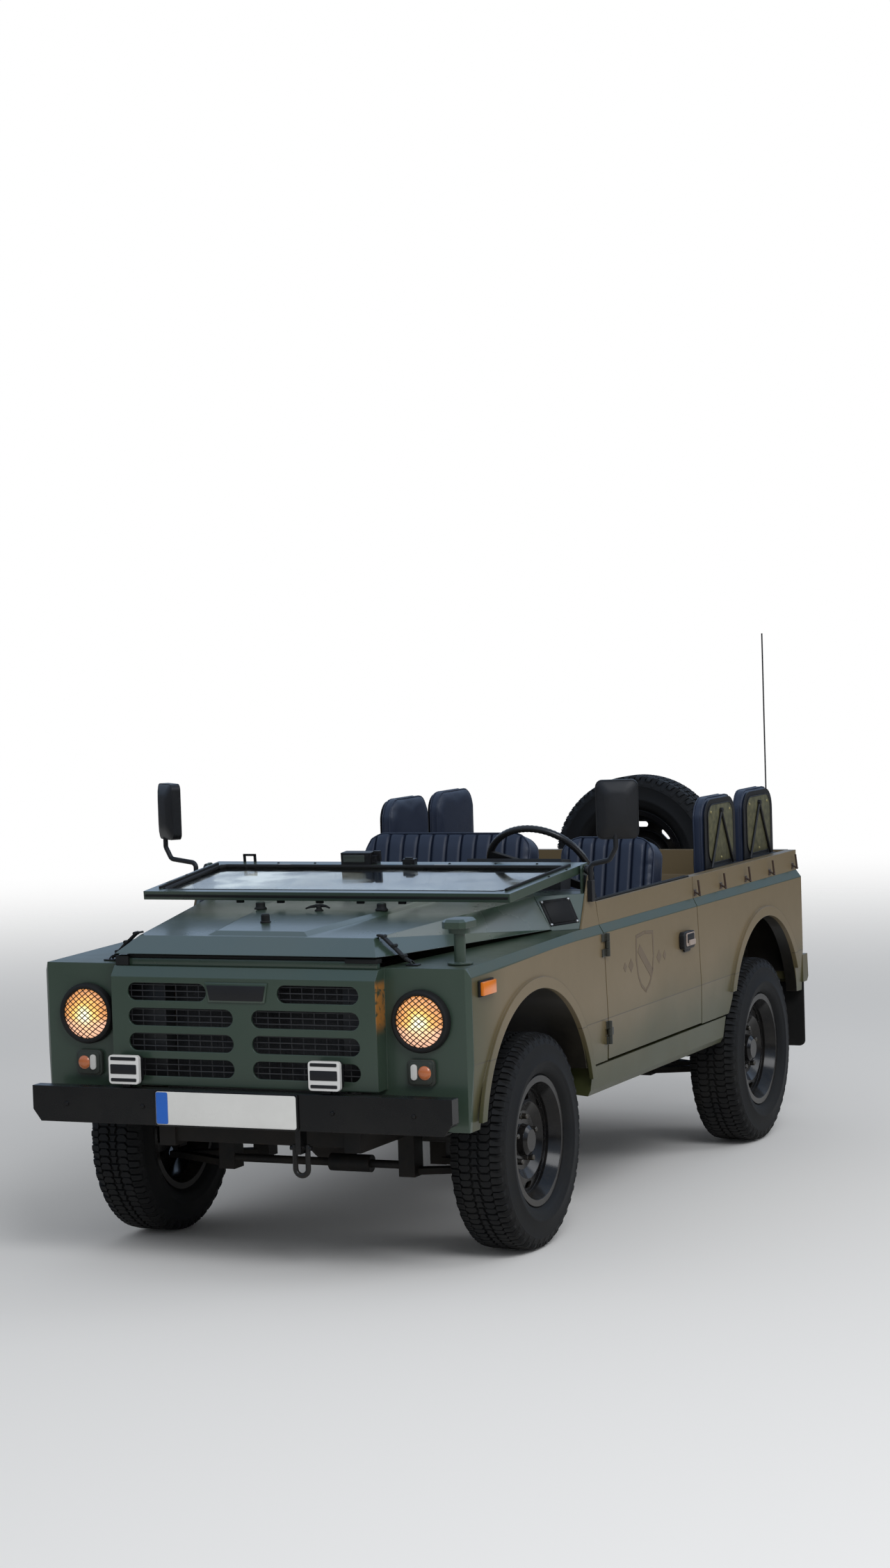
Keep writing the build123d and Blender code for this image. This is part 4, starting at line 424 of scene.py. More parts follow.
tyre_radius = 367.4
pitch_count = 44
pitch_angle = 2 * math.pi / pitch_count
tyre_rubber = coated("tyre_rubber", (0.0075, 0.008, 0.009), (0.013, 0.013, 0.013), (0.028, 0.027, 0.026),
                     dust=(0.06, 0.055, 0.045), dust_share=0.12, rough=0.66, bump=0.3, grain_scale=500.0, radius=0.0015,
                     gloss=0.15)
crown_points = ((0, 367.4), (70, 367.4), (88, 362.4), (99, 331), (107, 287))


def crown(x):
    """Radius of the tyre's outer form at a distance from its middle."""
    x = abs(x)
    for (x0, r0), (x1, r1) in zip(crown_points, crown_points[1:]):
        if x <= x1:
            return r0 + (r1 - r0) * (x - x0) / (x1 - x0)
    return crown_points[-1][1]


def tread_pitch():
    """One pitch of the tread at the top of the wheel: split blocks in three rows and two shoulder lugs."""
    bm = bmesh.new()
    span = pitch_angle * tyre_radius

    def tread_block(outline, depth):
        rings = []
        for lift, inset in ((-depth, 0.0), (-1.2, 0.0), (0.0, 1.3)):
            middle_x = sum(p[0] for p in outline) / len(outline)
            middle_s = sum(p[1] for p in outline) / len(outline)
            ring = []
            for x, s in outline:
                reach = math.hypot(x - middle_x, s - middle_s)
                share = max(0.0, 1 - inset / reach)
                px = middle_x + (x - middle_x) * share
                angle = (middle_s + (s - middle_s) * share) / tyre_radius
                radius = crown(px) + lift
                ring.append(bm.verts.new((px, radius * math.sin(angle), radius * math.cos(angle))))
            rings.append(ring)
        for a, b in zip(rings, rings[1:]):
            for k in range(len(outline)):
                n = (k + 1) % len(outline)
                bm.faces.new((a[k], a[n], b[n], b[k]))
        bm.faces.new(rings[-1])

    row_rows = (
        # middle x, half width, waist, shift along the tread
        (-36.0, 15.0, 5.0, 0.0),
        (0.0, 14.0, -5.0, 0.5),
        (36.0, 15.0, 5.0, 0.0),
    )
    for middle, half, waist, shift in row_rows:
        narrow, wide = half - 2, half + waist
        for s0, s1 in ((0.06, 0.46), (0.5, 0.94)):
            a, b = (s0 + shift) * span, (s1 + shift) * span
            tread_block([(middle - narrow + waist / 2, a), (middle - wide, (a + b) / 2), (middle - wide + 2, b),
                         (middle + wide - 2, b), (middle + wide, (a + b) / 2), (middle + narrow - waist / 2, a)], 9.5)
    for side in (-1, 1):
        for s0, s1, foot in ((0.05, 0.45, 92.0), (0.53, 0.93, 98.5)):
            a, b = (s0 + 0.25) * span, (s1 + 0.25) * span
            tread_block([(side * 57, a), (side * 55, (a + b) / 2), (side * 58, b), (side * 84, b), (side * foot, b - 3),
                         (side * foot, a + 3), (side * 84, a)], 9.0)
    bmesh.ops.recalc_face_normals(bm, faces=bm.faces)
    return small_part(bm, "tread_pitch")


def carcass():
    bm = bmesh.new()
    half = [(206, 77), (224, 77), (234, 92), (240, 97), (252, 102.5), (262, 104), (266, 106.6), (274, 106.8),
            (278, 104.6), (300, 103.2), (322, 98.5), (327, 99.4), (332, 97.2), (346, 91.5), (353, 84), (357.5, 66),
            (358, 0)]
    profile = half + [(r, -x) for r, x in reversed(half[:-1])]
    add_lathe(bm, profile, (0, 0, 0), (1, 0, 0), 88, closed=True)
    bmesh.ops.recalc_face_normals(bm, faces=bm.faces)
    return small_part(bm, "carcass")


lugs = repeated("tread_lugs", ring_tree, tread_pitch(), tyre_rubber, pitch_count, (pitch_angle, 0, 0))
whole_tyre = bmesh.new()
whole_tyre.from_mesh(carcass())
whole_tyre.from_mesh(lugs)
wheel_rows = (
    # wheel, rim node, body, axis is lengthwise
    ("tyre_front_left", "rim_front_left", "wheel_front_left", False),
    ("tyre_front_right", "rim_front_right", "wheel_front_right", False),
    ("tyre_rear_left", "rim_rear_left", "wheel_rear_left", False),
    ("tyre_rear_right", "rim_rear_right", "wheel_rear_right", False),
    ("spare_tyre", "spare_rim", "tailgate", True),
)
wheel_places = {}
for tyre_node, rim_node, body, lengthwise in wheel_rows:
    low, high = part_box(tyre_node)
    middle = (low + high) / 2
    facing_turn = 90 if lengthwise else (0 if middle.x > 0 else 180)
    place_wheel = Matrix.Translation(middle) @ Matrix.Rotation(math.radians(facing_turn), 4, "Z")
    wheel_places[rim_node] = (place_wheel, body)
    mesh = bpy.data.meshes.new(tyre_node + "_tread")
    whole_tyre.to_mesh(mesh)
    mesh.transform(place_wheel)
    mesh.materials.append(tyre_rubber)
    piece = put(tyre_node + "_tread", smoothed(mesh), body)
    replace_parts(piece, tyre_node)
whole_tyre.free()

# Rims
# Pressed steel wheels in gloss black, with eight slots in the disc, held by five nuts round a
# pressed hub cap.
rim_black = coated("rim_black", (0.005, 0.005, 0.006), (0.009, 0.009, 0.009), (0.03, 0.03, 0.03), dust_share=0.06,
                   rough=0.2, spread=0.1, bump=0.04, coat=0.1, radius=0.003, gloss=0.2)
clad(rim_black, *(row[1] for row in wheel_rows))
nut_steel = coated("nut_steel", (0.05, 0.05, 0.05), (0.08, 0.07, 0.06), (0.3, 0.28, 0.25), rough=0.35, metal=0.9)
bm = bmesh.new()
add_lathe(bm, [(0, 44), (8, 44), (10.5, 41), (10.5, 24), (13, 22), (13, 19)], (0, 0, 82), (1, 0, 0), 6)
nuts = repeated("wheel_nuts", ring_tree, small_part(bm, "wheel_nut"), nut_steel, 5, (2 * math.pi / 5, 0, 0))
for rim_node, (place_wheel, body) in wheel_places.items():
    mesh = nuts.copy()
    mesh.transform(place_wheel)
    put(rim_node + "_nuts", mesh, body)

# Body panels
# Pressed steel sprayed green on the nose, bonnet, cowl and wing tops and sand on the sides, which
# turn olive towards the sills and the wings' front edge. A painted shadow lines the crease, the
# hinges are black, the rope hooks are rusty, and rust has come through at the left edge of the
# grille.
sand = (0.176, 0.133, 0.074)
olive = (0.036, 0.043, 0.014)
green = (0.030, 0.053, 0.037)
bay_green = (0.014, 0.021, 0.016)
# near-black: underseal in the wheel arch wells, and painted shade on the hidden faces inside the rear wheel boxes
arch_black_and_shade = (0.006, 0.006, 0.006)
crease_shadow_colour = (0.045, 0.038, 0.026)
hinge_black = (0.016, 0.020, 0.017)
hook_rust = (0.035, 0.018, 0.012)
rust_orange = (0.42, 0.17, 0.03)
shoulder, side_bevel_top, crease = 1.014, 1.0445, 0.7072


def object_axes(tree):
    """A point's place and its three parts."""
    place = new_node(tree, "ShaderNodeTexCoord").outputs["Object"]
    parts = new_node(tree, "ShaderNodeSeparateXYZ", Vector=place).outputs
    return place, parts["X"], parts["Y"], parts["Z"]


def away(tree, value, middle=0.0):
    return math_node(tree, "ABSOLUTE", math_node(tree, "SUBTRACT", value, middle))


def reach_of(tree, first, second):
    """Length of a line that goes so far one way and so far the other."""
    squares = [math_node(tree, "MULTIPLY", value, value) for value in (first, second)]
    return math_node(tree, "SQRT", math_node(tree, "ADD", *squares))


def all_of(tree, *rules):
    """Product of rules, each a (value, sign, limit) or a mask as it is."""
    mask = None
    for rule in rules:
        if isinstance(rule, tuple):
            value, sign, limit = rule
            rule = math_node(tree, "LESS_THAN" if sign == "<" else "GREATER_THAN", value, limit)
        mask = rule if mask is None else math_node(tree, "MULTIPLY", mask, rule)
    return mask


def side_colours(on_wing):
    """Colours of a front wing, or of the doors, rear sides, tailgate and floor pan."""
    def colour(tree):
        place, x, y, z = object_axes(tree)
        outside = away(tree, x)
        faced = new_node(tree, "ShaderNodeTexCoord").outputs["Normal"]
        faced = new_node(tree, "ShaderNodeSeparateXYZ", Vector=faced).outputs
        outward = math_node(tree, "MULTIPLY", faced["X"], math_node(tree, "SIGN", x))
        wander = new_node(tree, "ShaderNodeTexNoise", Vector=place, Scale=2.2, Detail=3.0).outputs["Fac"]
        wander = math_node(tree, "MULTIPLY", math_node(tree, "SUBTRACT", wander, 0.5), 0.22)
        tone = ramp_value(tree, math_node(tree, "ADD", z, wander), 0.84, 0.50)
        line = z
        if on_wing:
            tone = math_node(tree, "MAXIMUM", tone, ramp_value(tree, y, axle_y - 0.25, axle_y - 0.58, 0.0, 0.8))
            line = math_node(tree, "ADD", z, ramp_value(tree, y, axle_y - 0.58, axle_y + 0.347, 0.023, 0.0))
        band = all_of(tree, (line, ">", shoulder - 0.002), (z, "<", side_bevel_top))
        if not on_wing:
            band = all_of(tree, band, (outside, ">", 0.7755))
        painted = mix_colour(tree, band, mix_colour(tree, tone, sand, olive), green)
        arch_y, arch_z, arch_reach = (-0.041, 0.408, 0.4845) if on_wing else (2.385, 0.465, 0.4335)
        arch_gap = reach_of(tree, math_node(tree, "SUBTRACT", y, axle_y + arch_y),
                            math_node(tree, "SUBTRACT", z, arch_z))
        well = all_of(tree, (arch_gap, "<", arch_reach), (outside, "<", 0.782), (outward, ">", -0.3))
        if on_wing:
            painted = mix_colour(tree, all_of(tree, (outside, "<", 0.70), (z, "<", 0.995)), painted, bay_green)
        else:
            # faces hidden inside the rear wheel boxes take the near-black as painted shade
            turned_away = math_node(tree, "MAXIMUM", all_of(tree, (outward, ">", 0.3)),
                                    all_of(tree, (faced["Z"], "<", -0.3)))
            inside_box = all_of(tree, (away(tree, y, axle_y + 2.2455), "<", 0.590), (outside, ">", 0.556),
                                (faced["Z"], "<", 0.5), (outward, ">", -0.3))
            hidden_shade = all_of(tree, (outside, "<", 0.742), (z, "<", 0.9035),
                            math_node(tree, "MAXIMUM", turned_away, inside_box))
            well = math_node(tree, "MAXIMUM", all_of(tree, well, (outside, ">", 0.5525)), hidden_shade)
        painted = mix_colour(tree, well, painted, arch_black_and_shade)
        # painted shadow: a thin dark line along the crease on the outer skin
        crease_shadow = all_of(tree, (away(tree, z, crease), "<", 0.0016), (outside, ">", 0.786))
        painted = mix_colour(tree, math_node(tree, "MULTIPLY", crease_shadow, 0.85), painted, crease_shadow_colour)
        hinge = all_of(tree, (away(tree, y, axle_y + 0.612), "<", 0.052), (outside, ">", 0.7925))
        painted = mix_colour(tree, hinge, painted, hinge_black)
        if on_wing:
            return painted
        return mix_colour(tree, all_of(tree, (outside, ">", 0.7773), (z, ">", 1.0465)), painted, hook_rust)
    return colour


def nose_colours(tree):
    """Green with orange rust through noise on the left side wall of the grille."""
    place, x, y, z = object_axes(tree)
    spots = new_node(tree, "ShaderNodeTexNoise", Vector=place, Scale=38.0, Detail=5.0, Roughness=0.6)
    share = all_of(tree, (x, ">", 0.4872), (x, "<", 0.4896), (y, "<", axle_y - 0.601), ramp_value(tree, z, 0.80, 0.86),
                   ramp_value(tree, z, 0.99, 0.96), ramp_value(tree, spots.outputs["Fac"], 0.36, 0.5))
    return mix_colour(tree, share, green, rust_orange)


body_finish = {"dust": (0.11, 0.098, 0.07), "dust_share": 0.18, "bump": 0.05, "scale": 3.0}
green_tones = (green, (0.037, 0.058, 0.040), (0.060, 0.072, 0.052))
sand_tones = (sand, (0.15, 0.12, 0.078), (0.12, 0.10, 0.065))
green_paint = coated("green_paint", *green_tones, rough=0.30, coat=0.4, gloss=0.5, **body_finish)
nose_paint = coated("nose_paint", *green_tones, rough=0.34, coat=0.2, gloss=0.5, colour=nose_colours, **body_finish)
wing_paint, side_paint = (
    coated(label, *sand_tones, rough=0.36, coat=0.1, tone_share=0.15, colour=side_colours(on_wing), **body_finish)
    for label, on_wing in (("wing_paint", True), ("side_paint", False)))
clad(nose_paint, "nose_panel")
clad(green_paint, "cowl", "hood", "windscreen_frame")
clad(wing_paint, "fender_left", "fender_right")
clad(side_paint, "floor_pan", "door_left", "door_right", "rear_side_left", "rear_side_right", "tailgate", "seat_boxes")

# Front bumper
# A folded steel channel in semi-gloss black with a welded tow bracket and shackle, four bolt heads
# on its face, and the number plate's blank white sheet in a thin black holder.
bumper_black = coated("bumper_black", (0.0045, 0.0048, 0.0055), (0.008, 0.008, 0.008), (0.05, 0.03, 0.02), rough=0.26,
                      bump=0.06, scale=8.0, dust_share=0.04, coat=0.06, gloss=0.2)
clad(bumper_black, "front_bumper")


def round_rect(middle_u, middle_v, width, height, radius, steps=5):
    """Outline of a rectangle with round corners."""
    points = []
    for corner_u, corner_v, start in ((1, 1, 0), (-1, 1, 90), (-1, -1, 180), (1, -1, 270)):
        for k in range(steps + 1):
            angle = math.radians(start + 90 * k / steps)
            points.append((middle_u + corner_u * (width / 2 - radius) + radius * math.cos(angle),
                           middle_v + corner_v * (height / 2 - radius) + radius * math.sin(angle)))
    return points


bumper_face = -730.0
plate_x, plate_z = -37.0, 558.0
plate_white = coated("plate_white", (0.74, 0.74, 0.72), (0.66, 0.66, 0.64), (0.5, 0.5, 0.48), rough=0.3, bump=0.02,
                     dust_share=0.15)
plate_blue = coated("plate_blue", (0.02, 0.13, 0.55), (0.02, 0.11, 0.45), (0.1, 0.2, 0.5), rough=0.3, bump=0.02,
                    dust_share=0.15)
plate_rows = (
    # name, shift, width, height, corner, front and back before the bumper, finish, slot, bevel
    ("plate_holder", 0, 530, 122, 10, 7, 0, bumper_black, "black_plastic", 1.5),
    ("number_plate", 0, 518, 110, 8, 9, 6, plate_white, "white_cover", 0.8),
    ("plate_band", -236, 44, 106, 6, 9.4, 8.8, plate_blue, "white_cover", 0.0),
)
for name, shift, width, height, corner, front, back, finish, slot, bevel in plate_rows:
    bm = bmesh.new()
    outline = round_rect(plate_x + shift, plate_z, width, height, corner)
    add_prism(bm, outline, "y", bumper_face - front, bumper_face - back)
    made(name, bm, finish, "root", bevel)


def bolt_mesh(radius, height, axis):
    """Hexagon head on its washer, at the origin, standing along an axis."""
    bm = bmesh.new()
    add_lathe(bm, [(0, height), (radius * 0.8, height), (radius, height * 0.8), (radius, height * 0.25)],
              (0, 0, 0), axis, 6)
    add_lathe(bm, [(radius * 1.15, height * 0.3), (radius * 1.3, height * 0.2), (radius * 1.3, 0)], (0, 0, 0), axis, 14)
    bmesh.ops.recalc_face_normals(bm, faces=bm.faces)
    return small_part(bm, "bolt")


def bolted(name, points, head, mat, body):
    """Sets the same head on points that are given in millimetres."""
    mesh = repeated(name, point_tree, head, mat, points=[metres(*p) for p in points])
    put(name, mesh, body)


bolted("bumper_bolts", [(x, bumper_face, 560) for x in (-640, -350, 350, 640)], bolt_mesh(7, 5, (0, -1, 0)),
       bumper_black, "root")

# Headlamps
# Round sealed lamps, lit, in a black rubber ring: a fluted glass lens over a bright bowl, behind a
# domed guard of black diagonal wires.
headlamp_x, headlamp_z, nose_face = 619.0, 850.0, -600.0
rubber = coated("black_rubber", (0.009, 0.009, 0.009), (0.015, 0.015, 0.014), (0.03, 0.03, 0.03), rough=0.6,
                bump=0.15, dust=(0.08, 0.07, 0.055), dust_share=0.15, radius=0.002, gloss=0.2)
lens_lit, tree, shader = new_material("lens_lit")
place, x, y, z = object_axes(tree)
off_x = math_node(tree, "SUBTRACT", away(tree, x), headlamp_x / 1000)
off_z = math_node(tree, "SUBTRACT", z, headlamp_z / 1000 - 0.006)
flutes = new_node(tree, "ShaderNodeTexWave", Vector=place, Scale=26.0, Distortion=1.5, Detail=2.0)
swirl = new_node(tree, "ShaderNodeTexNoise", Vector=place, Scale=34.0, Detail=3.0).outputs["Fac"]
swirl = math_node(tree, "MULTIPLY", math_node(tree, "SUBTRACT", swirl, 0.5), 0.05)
glow_reach = math_node(tree, "ADD", reach_of(tree, off_x, off_z), swirl)
glow = new_node(tree, "ShaderNodeValToRGB", Fac=ramp_value(tree, glow_reach, 0.0, 0.09))
glow.color_ramp.elements[0].color = (1.0, 0.98, 0.74, 1)
glow.color_ramp.elements[1].color = (0.50, 0.20, 0.06, 1)
for position, value in ((0.16, (1.0, 0.86, 0.40, 1)), (0.36, (0.98, 0.55, 0.13, 1)), (0.7, (0.80, 0.36, 0.09, 1))):
    glow.color_ramp.elements.new(position).color = value
lower = ramp_value(tree, off_z, -0.002, -0.03, 0.0, 0.55)
relief = new_node(tree, "ShaderNodeBump", Strength=0.5, Distance=0.002, Height=flutes.outputs["Fac"])
dress_node(shader, Emission_Color=mix_colour(tree, lower, glow.outputs["Color"], (0.80, 0.50, 0.40)),
           Emission_Strength=1.4, Base_Color=(0.35, 0.25, 0.18), Roughness=0.12, Coat_Weight=0.6,
           Normal=relief.outputs["Normal"])
rings, lenses, wires = bmesh.new(), bmesh.new(), bmesh.new()
lens_radius, dome = 86.0, 20.0
guard_radius, wire_spacing, wire_turn = 88.0, 14.5, math.radians(38)
for side in (-1, 1):
    centre = Vector((side * headlamp_x, nose_face, headlamp_z))
    add_lathe(rings, [(84, -2), (84, 24), (87, 27), (93, 28), (99, 25), (103, 16), (103, 1), (98, -0.3)], centre,
              (0, -1, 0), 56, closed=True)
    bowl = [(lens_radius * math.sin(a), 14 + dome * math.cos(a)) for a in [math.pi / 2 * k / 7 for k in range(8)]]
    add_lathe(lenses, bowl + [(lens_radius, 2), (0, 2)], centre, (0, -1, 0), 48)
    for direction in (-1, 1):
        for k in range(-5, 6):
            offset = (k + 0.5 * (direction > 0)) * wire_spacing
            reach = math.sqrt(max(0.0, guard_radius ** 2 - offset ** 2))
            path = []
            for i in range(13):
                s = reach * (i / 6 - 1)
                u = (s * math.cos(wire_turn) - offset * math.sin(wire_turn)) * direction
                v = s * math.sin(wire_turn) + offset * math.cos(wire_turn)
                radial = min(1.0, math.hypot(u, v) / guard_radius)
                path.append(centre + Vector((u, -(18 + 21 * math.sqrt(1 - radial ** 2)), v)))
            add_tube(wires, path, 1.7, 5)
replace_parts(made("headlamp_rings", rings, rubber, "root"), "headlamps")
made("headlamp_lenses", lenses, lens_lit, "root")
wire_brown = coated("wire_brown", (0.012, 0.007, 0.005), (0.02, 0.01, 0.006), (0.05, 0.03, 0.02), rough=0.6, bump=0.05,
                    dust_share=0.05, radius=0.0004)
made("headlamp_guards", wires, wire_brown, "root")

# Front signal lamps, side markers and tail lamps
# Moulded housings with plastic lenses: a white oval and an amber round lens at the front, an amber
# marker on each wing, and a red, amber and clear stack at the tail.
moulded = {"dust_share": 0.12, "bump": 0.35, "grain_scale": 260.0, "radius": 0.001}
amber = coated("amber_lens", (0.80, 0.22, 0.02), (0.62, 0.14, 0.01), (0.85, 0.35, 0.08), rough=0.15, coat=0.5,
               **moulded)
orange = coated("orange_lens", (0.55, 0.17, 0.06), (0.42, 0.12, 0.05), (0.7, 0.3, 0.1), rough=0.15, coat=0.5,
                **moulded)
clear_lens = coated("clear_lens", (0.62, 0.62, 0.6), (0.5, 0.5, 0.5), (0.7, 0.7, 0.7), rough=0.12, coat=0.6,
                    **moulded)
red_lens = coated("red_lens", (0.38, 0.01, 0.01), (0.25, 0.006, 0.006), (0.5, 0.05, 0.04), rough=0.15, coat=0.5,
                  **moulded)
housing_green = coated("housing_green", (0.035, 0.042, 0.035), (0.026, 0.03, 0.026), (0.07, 0.07, 0.06), rough=0.5)


def rect(u0, u1, v0, v1):
    return [(u0, v0), (u1, v0), (u1, v1), (u0, v1)]


housing, ovals, rounds, markers, marker_bases = (bmesh.new() for _ in range(5))
for side in (-1, 1):
    x = side * 616
    add_prism(housing, round_rect(x, 683, 98, 86, 16), "y", nose_face - 16, nose_face - 0.3)
    add_prism(housing, round_rect(x, 683, 84, 74, 14), "y", nose_face - 22, nose_face - 15)
    add_prism(ovals, round_rect(x - side * 20, 686, 22, 52, 10.5, 6), "y", nose_face - 29, nose_face - 20)
    add_lathe(rounds, [(0, 9), (14, 8.5), (20, 6), (23, 2), (23, 0)], (x + side * 16, nose_face - 20, 684),
              (0, -1, 0), 28)
    wing_face = side * 790
    add_prism(marker_bases, rect(-535, -421, 922, 975), "x", wing_face + side * 0.3, wing_face + side * 9)
    add_prism(markers, rect(-531, -425, 926, 971), "x", wing_face + side * 8, wing_face + side * 21)
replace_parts(made("signal_housings", housing, housing_green, "root", 3), "signal_lamps")
made("park_lenses", ovals, clear_lens, "root", 3)
made("turn_lenses", rounds, orange, "root")
made("side_markers", markers, amber, "root", 4)
made("marker_bases", marker_bases, rubber, "root", 2)
tail_rows = (
    # name, middle z, width, height, corner, from y, to y, finish, slot, bevel
    ("tail_lamp_bases", 860, 90, 200, 12, 2880.3, 2908, rubber, "black_plastic", 2),
    ("tail_lamps_red", 862, 80, 68, 9, 2906, 2921, red_lens, "amber_lens", 3),
    ("tail_lamps_amber", 929, 80, 54, 9, 2906, 2921, amber, "amber_lens", 3),
    ("tail_lamps_clear", 793, 80, 58, 9, 2906, 2921, clear_lens, "lamp_glass", 3),
)
for name, z, width, height, corner, y0, y1, finish, slot, bevel in tail_rows:
    bm = bmesh.new()
    for side in (-1, 1):
        add_prism(bm, round_rect(side * 695, z, width, height, corner), "y", y0, y1)
    made(name, bm, finish, "root", bevel)

# Fog lamps
# Small rectangular lamps on the bumper, each under a moulded white cover with two narrow black
# bands and a dark blank panel across the middle.
cover_white = coated("cover_white", (0.72, 0.72, 0.71), (0.62, 0.62, 0.61), (0.45, 0.45, 0.45), rough=0.35, bump=0.1,
                     dust_share=0.2, radius=0.003)
case_black = coated("case_black", (0.008, 0.008, 0.009), (0.013, 0.013, 0.014), (0.035, 0.035, 0.035), rough=0.42,
                    bump=0.3, dust=(0.08, 0.07, 0.055), dust_share=0.1, radius=0.002)
fog_rows = (
    # name, its plates as (middle z, width, height, corner, from y, to y), finish, slot, bevel, segments
    ("fog_lamp_covers", ((679, 114, 97, 12, -725.5, -706),), cover_white, "white_cover", 3.5, 3),
    ("fog_lamp_cases", ((679, 104, 88, 14, -707, -679), (633, 34, 30, 6, -712, -692)), case_black, "black_plastic",
     3, 2),
    ("fog_lamp_bands", ((716, 96, 11, 3, -727.2, -725), (681, 98, 32, 3, -727.2, -725),
                        (645, 96, 11, 3, -727.2, -725)), case_black, "black_plastic", 0.6, 2),
)
for name, plates, finish, slot, bevel, segments in fog_rows:
    bm = bmesh.new()
    for x in (-422.0, 320.0):
        for z, width, height, corner, y0, y1 in plates:
            add_prism(bm, round_rect(x, z, width, height, corner), "y", y0, y1)
    piece = made(name, bm, finish, "root", bevel, segments)
    if name == "fog_lamp_covers":
        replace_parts(piece, "fog_lamps")

# Grille
# Behind the eight slots sits a welded guard of thin black rods and, behind that, the finned
# radiator; a blank black panel in a folded frame fills the gap between the two top slots.
rod_black = coated("rod_black", (0.022, 0.023, 0.025), (0.03, 0.03, 0.032), (0.06, 0.06, 0.06), rough=0.4, bump=0.05,
                   dust_share=0.2, gloss=0.5)
bm = bmesh.new()
for z in [650 + 20.5 * k for k in range(17)]:
    add_tube(bm, [(-440, -653, z), (440, -653, z)], 2.2, 6)
made("guard_rods", bm, rod_black, "root")
bm = bmesh.new()
add_tube(bm, [(0, 0, 640), (0, 0, 985)], 2.0, 6)
put("guard_uprights", repeated("guard_uprights", row_tree, small_part(bm, "upright_rod"), rod_black, 21,
                               (0.0425, 0, 0), (-0.425, -0.6475 + axle_y, 0)), "root")
fin_metal = coated("fin_metal", (0.03, 0.032, 0.035), (0.02, 0.02, 0.02), (0.1, 0.1, 0.1), rough=0.5, metal=0.5)
bm = bmesh.new()
add_prism(bm, rect(-0.6, 0.6, -521, -482), "z", 562, 948)
put("radiator_fins", repeated("radiator_fins", row_tree, small_part(bm, "fin"), fin_metal, 129, (0.005, 0, 0),
                              (-0.32, axle_y, 0)), "root")
clad(rod_black, "radiator")
bm = bmesh.new()
for side in (-1, 1):
    a, b = sorted((side * 330, side * 479))
    add_prism(bm, rect(a, b, 626, 1000), "y", -588, -584)
    a, b = sorted((side * 330, side * 334))
    add_prism(bm, rect(a, b, -584, -522), "z", 576, 1000)
add_prism(bm, rect(-334, 334, -584, -472), "z", 953, 957)
made("radiator_baffles", bm, rod_black, "root", 0.8)
bm = bmesh.new()
add_prism(bm, [(-132, 971), (100, 971), (88, 905), (-120, 905)], "y", -676, -669.8)
made("badge_frame", bm, green_paint, "root", 2.5)
bm = bmesh.new()
add_prism(bm, [(-124, 962), (92, 962), (82, 912), (-114, 912)], "y", -679, -675)
made("badge_panel", bm, case_black, "root", 1.2)

# Bonnet
# The bonnet closes on a black rubber strip over a painted ledge. Two rubber straps hold its front
# corners, and small rubber buffers and a twin washer jet stand on the raised middle.
def add_plate(bm, corners, push):
    """Flat plate of any outline: its corners, pushed by a vector."""
    low = [bm.verts.new(Vector(c)) for c in corners]
    high = [bm.verts.new(Vector(c) + Vector(push)) for c in corners]
    bm.faces.new(low)
    bm.faces.new(high)
    for k in range(len(corners)):
        n = (k + 1) % len(corners)
        bm.faces.new((low[k], low[n], high[n], high[k]))


def add_strap(bm, path, across, width, thickness):
    """Flat band along points, lying with its width across."""
    across = Vector(across).normalized()
    rings = []
    for k, point in enumerate(path):
        along = (Vector(path[min(k + 1, len(path) - 1)]) - Vector(path[max(k - 1, 0)])).normalized()
        up = along.cross(across).normalized()
        rings.append([bm.verts.new(Vector(point) + a * width / 2 * across + b * thickness / 2 * up)
                      for a, b in ((-1, -1), (1, -1), (1, 1), (-1, 1))])
    for a, b in zip(rings, rings[1:]):
        for k in range(4):
            n = (k + 1) % 4
            bm.faces.new((a[k], a[n], b[n], b[k]))
    bm.faces.new(rings[0])
    bm.faces.new(rings[-1])


def hood_level(y):
    """Height of the bonnet's raised middle."""
    return 1124 + (y + 559) / 906 * 53


bm = bmesh.new()
add_prism(bm, rect(-628, -604, 1018.3, 1043), "x", -440, 478)
made("bonnet_ledge", bm, green_paint, "root", 2)
bm = bmesh.new()
seal_rows = (
    # x0, x1, front y, low z, high z
    (-452, 470, -622, 1042, 1054.5),
    (-486, -438, -640, 1018.4, 1051),
    (366, 484, -637, 1037, 1052),
)
for x0, x1, front_y, z0, z1 in seal_rows:
    add_prism(bm, rect(front_y, -602, z0, z1), "x", x0, x1)
made("bonnet_seal", bm, rubber, "root", 2)
bm = bmesh.new()
for x in (-233.0, 233.0):
    add_lathe(bm, [(14.3, 0), (22, 0), (22, 4), (18, 7), (16.5, 11), (16.5, 22), (14.3, 24)],
              (x, -60, hood_level(-60)), (0, 0, 1), 22, closed=True)
add_lathe(bm, [(18, 0), (18, 4), (15, 7), (15, 26), (12, 30), (0, 30)], (-69, -343, hood_level(-343) - 0.5),
          (0, 0, 1), 22)
add_lathe(bm, [(15, 0), (15, 3), (10, 6), (9, 16), (0, 18)], (5, -82, hood_level(-82) - 0.5), (0, 0, 1), 18)
add_tube(bm, [(-40, -96, 1160), (-24, -90, 1166), (-4, -84, 1169), (14, -80, 1170), (34, -84, 1168), (50, -92, 1163)],
         [3, 4.5, 6, 6, 4.5, 3], 10)
made("bonnet_rubbers", bm, rubber, "hood")
straps, strap_feet = bmesh.new(), bmesh.new()
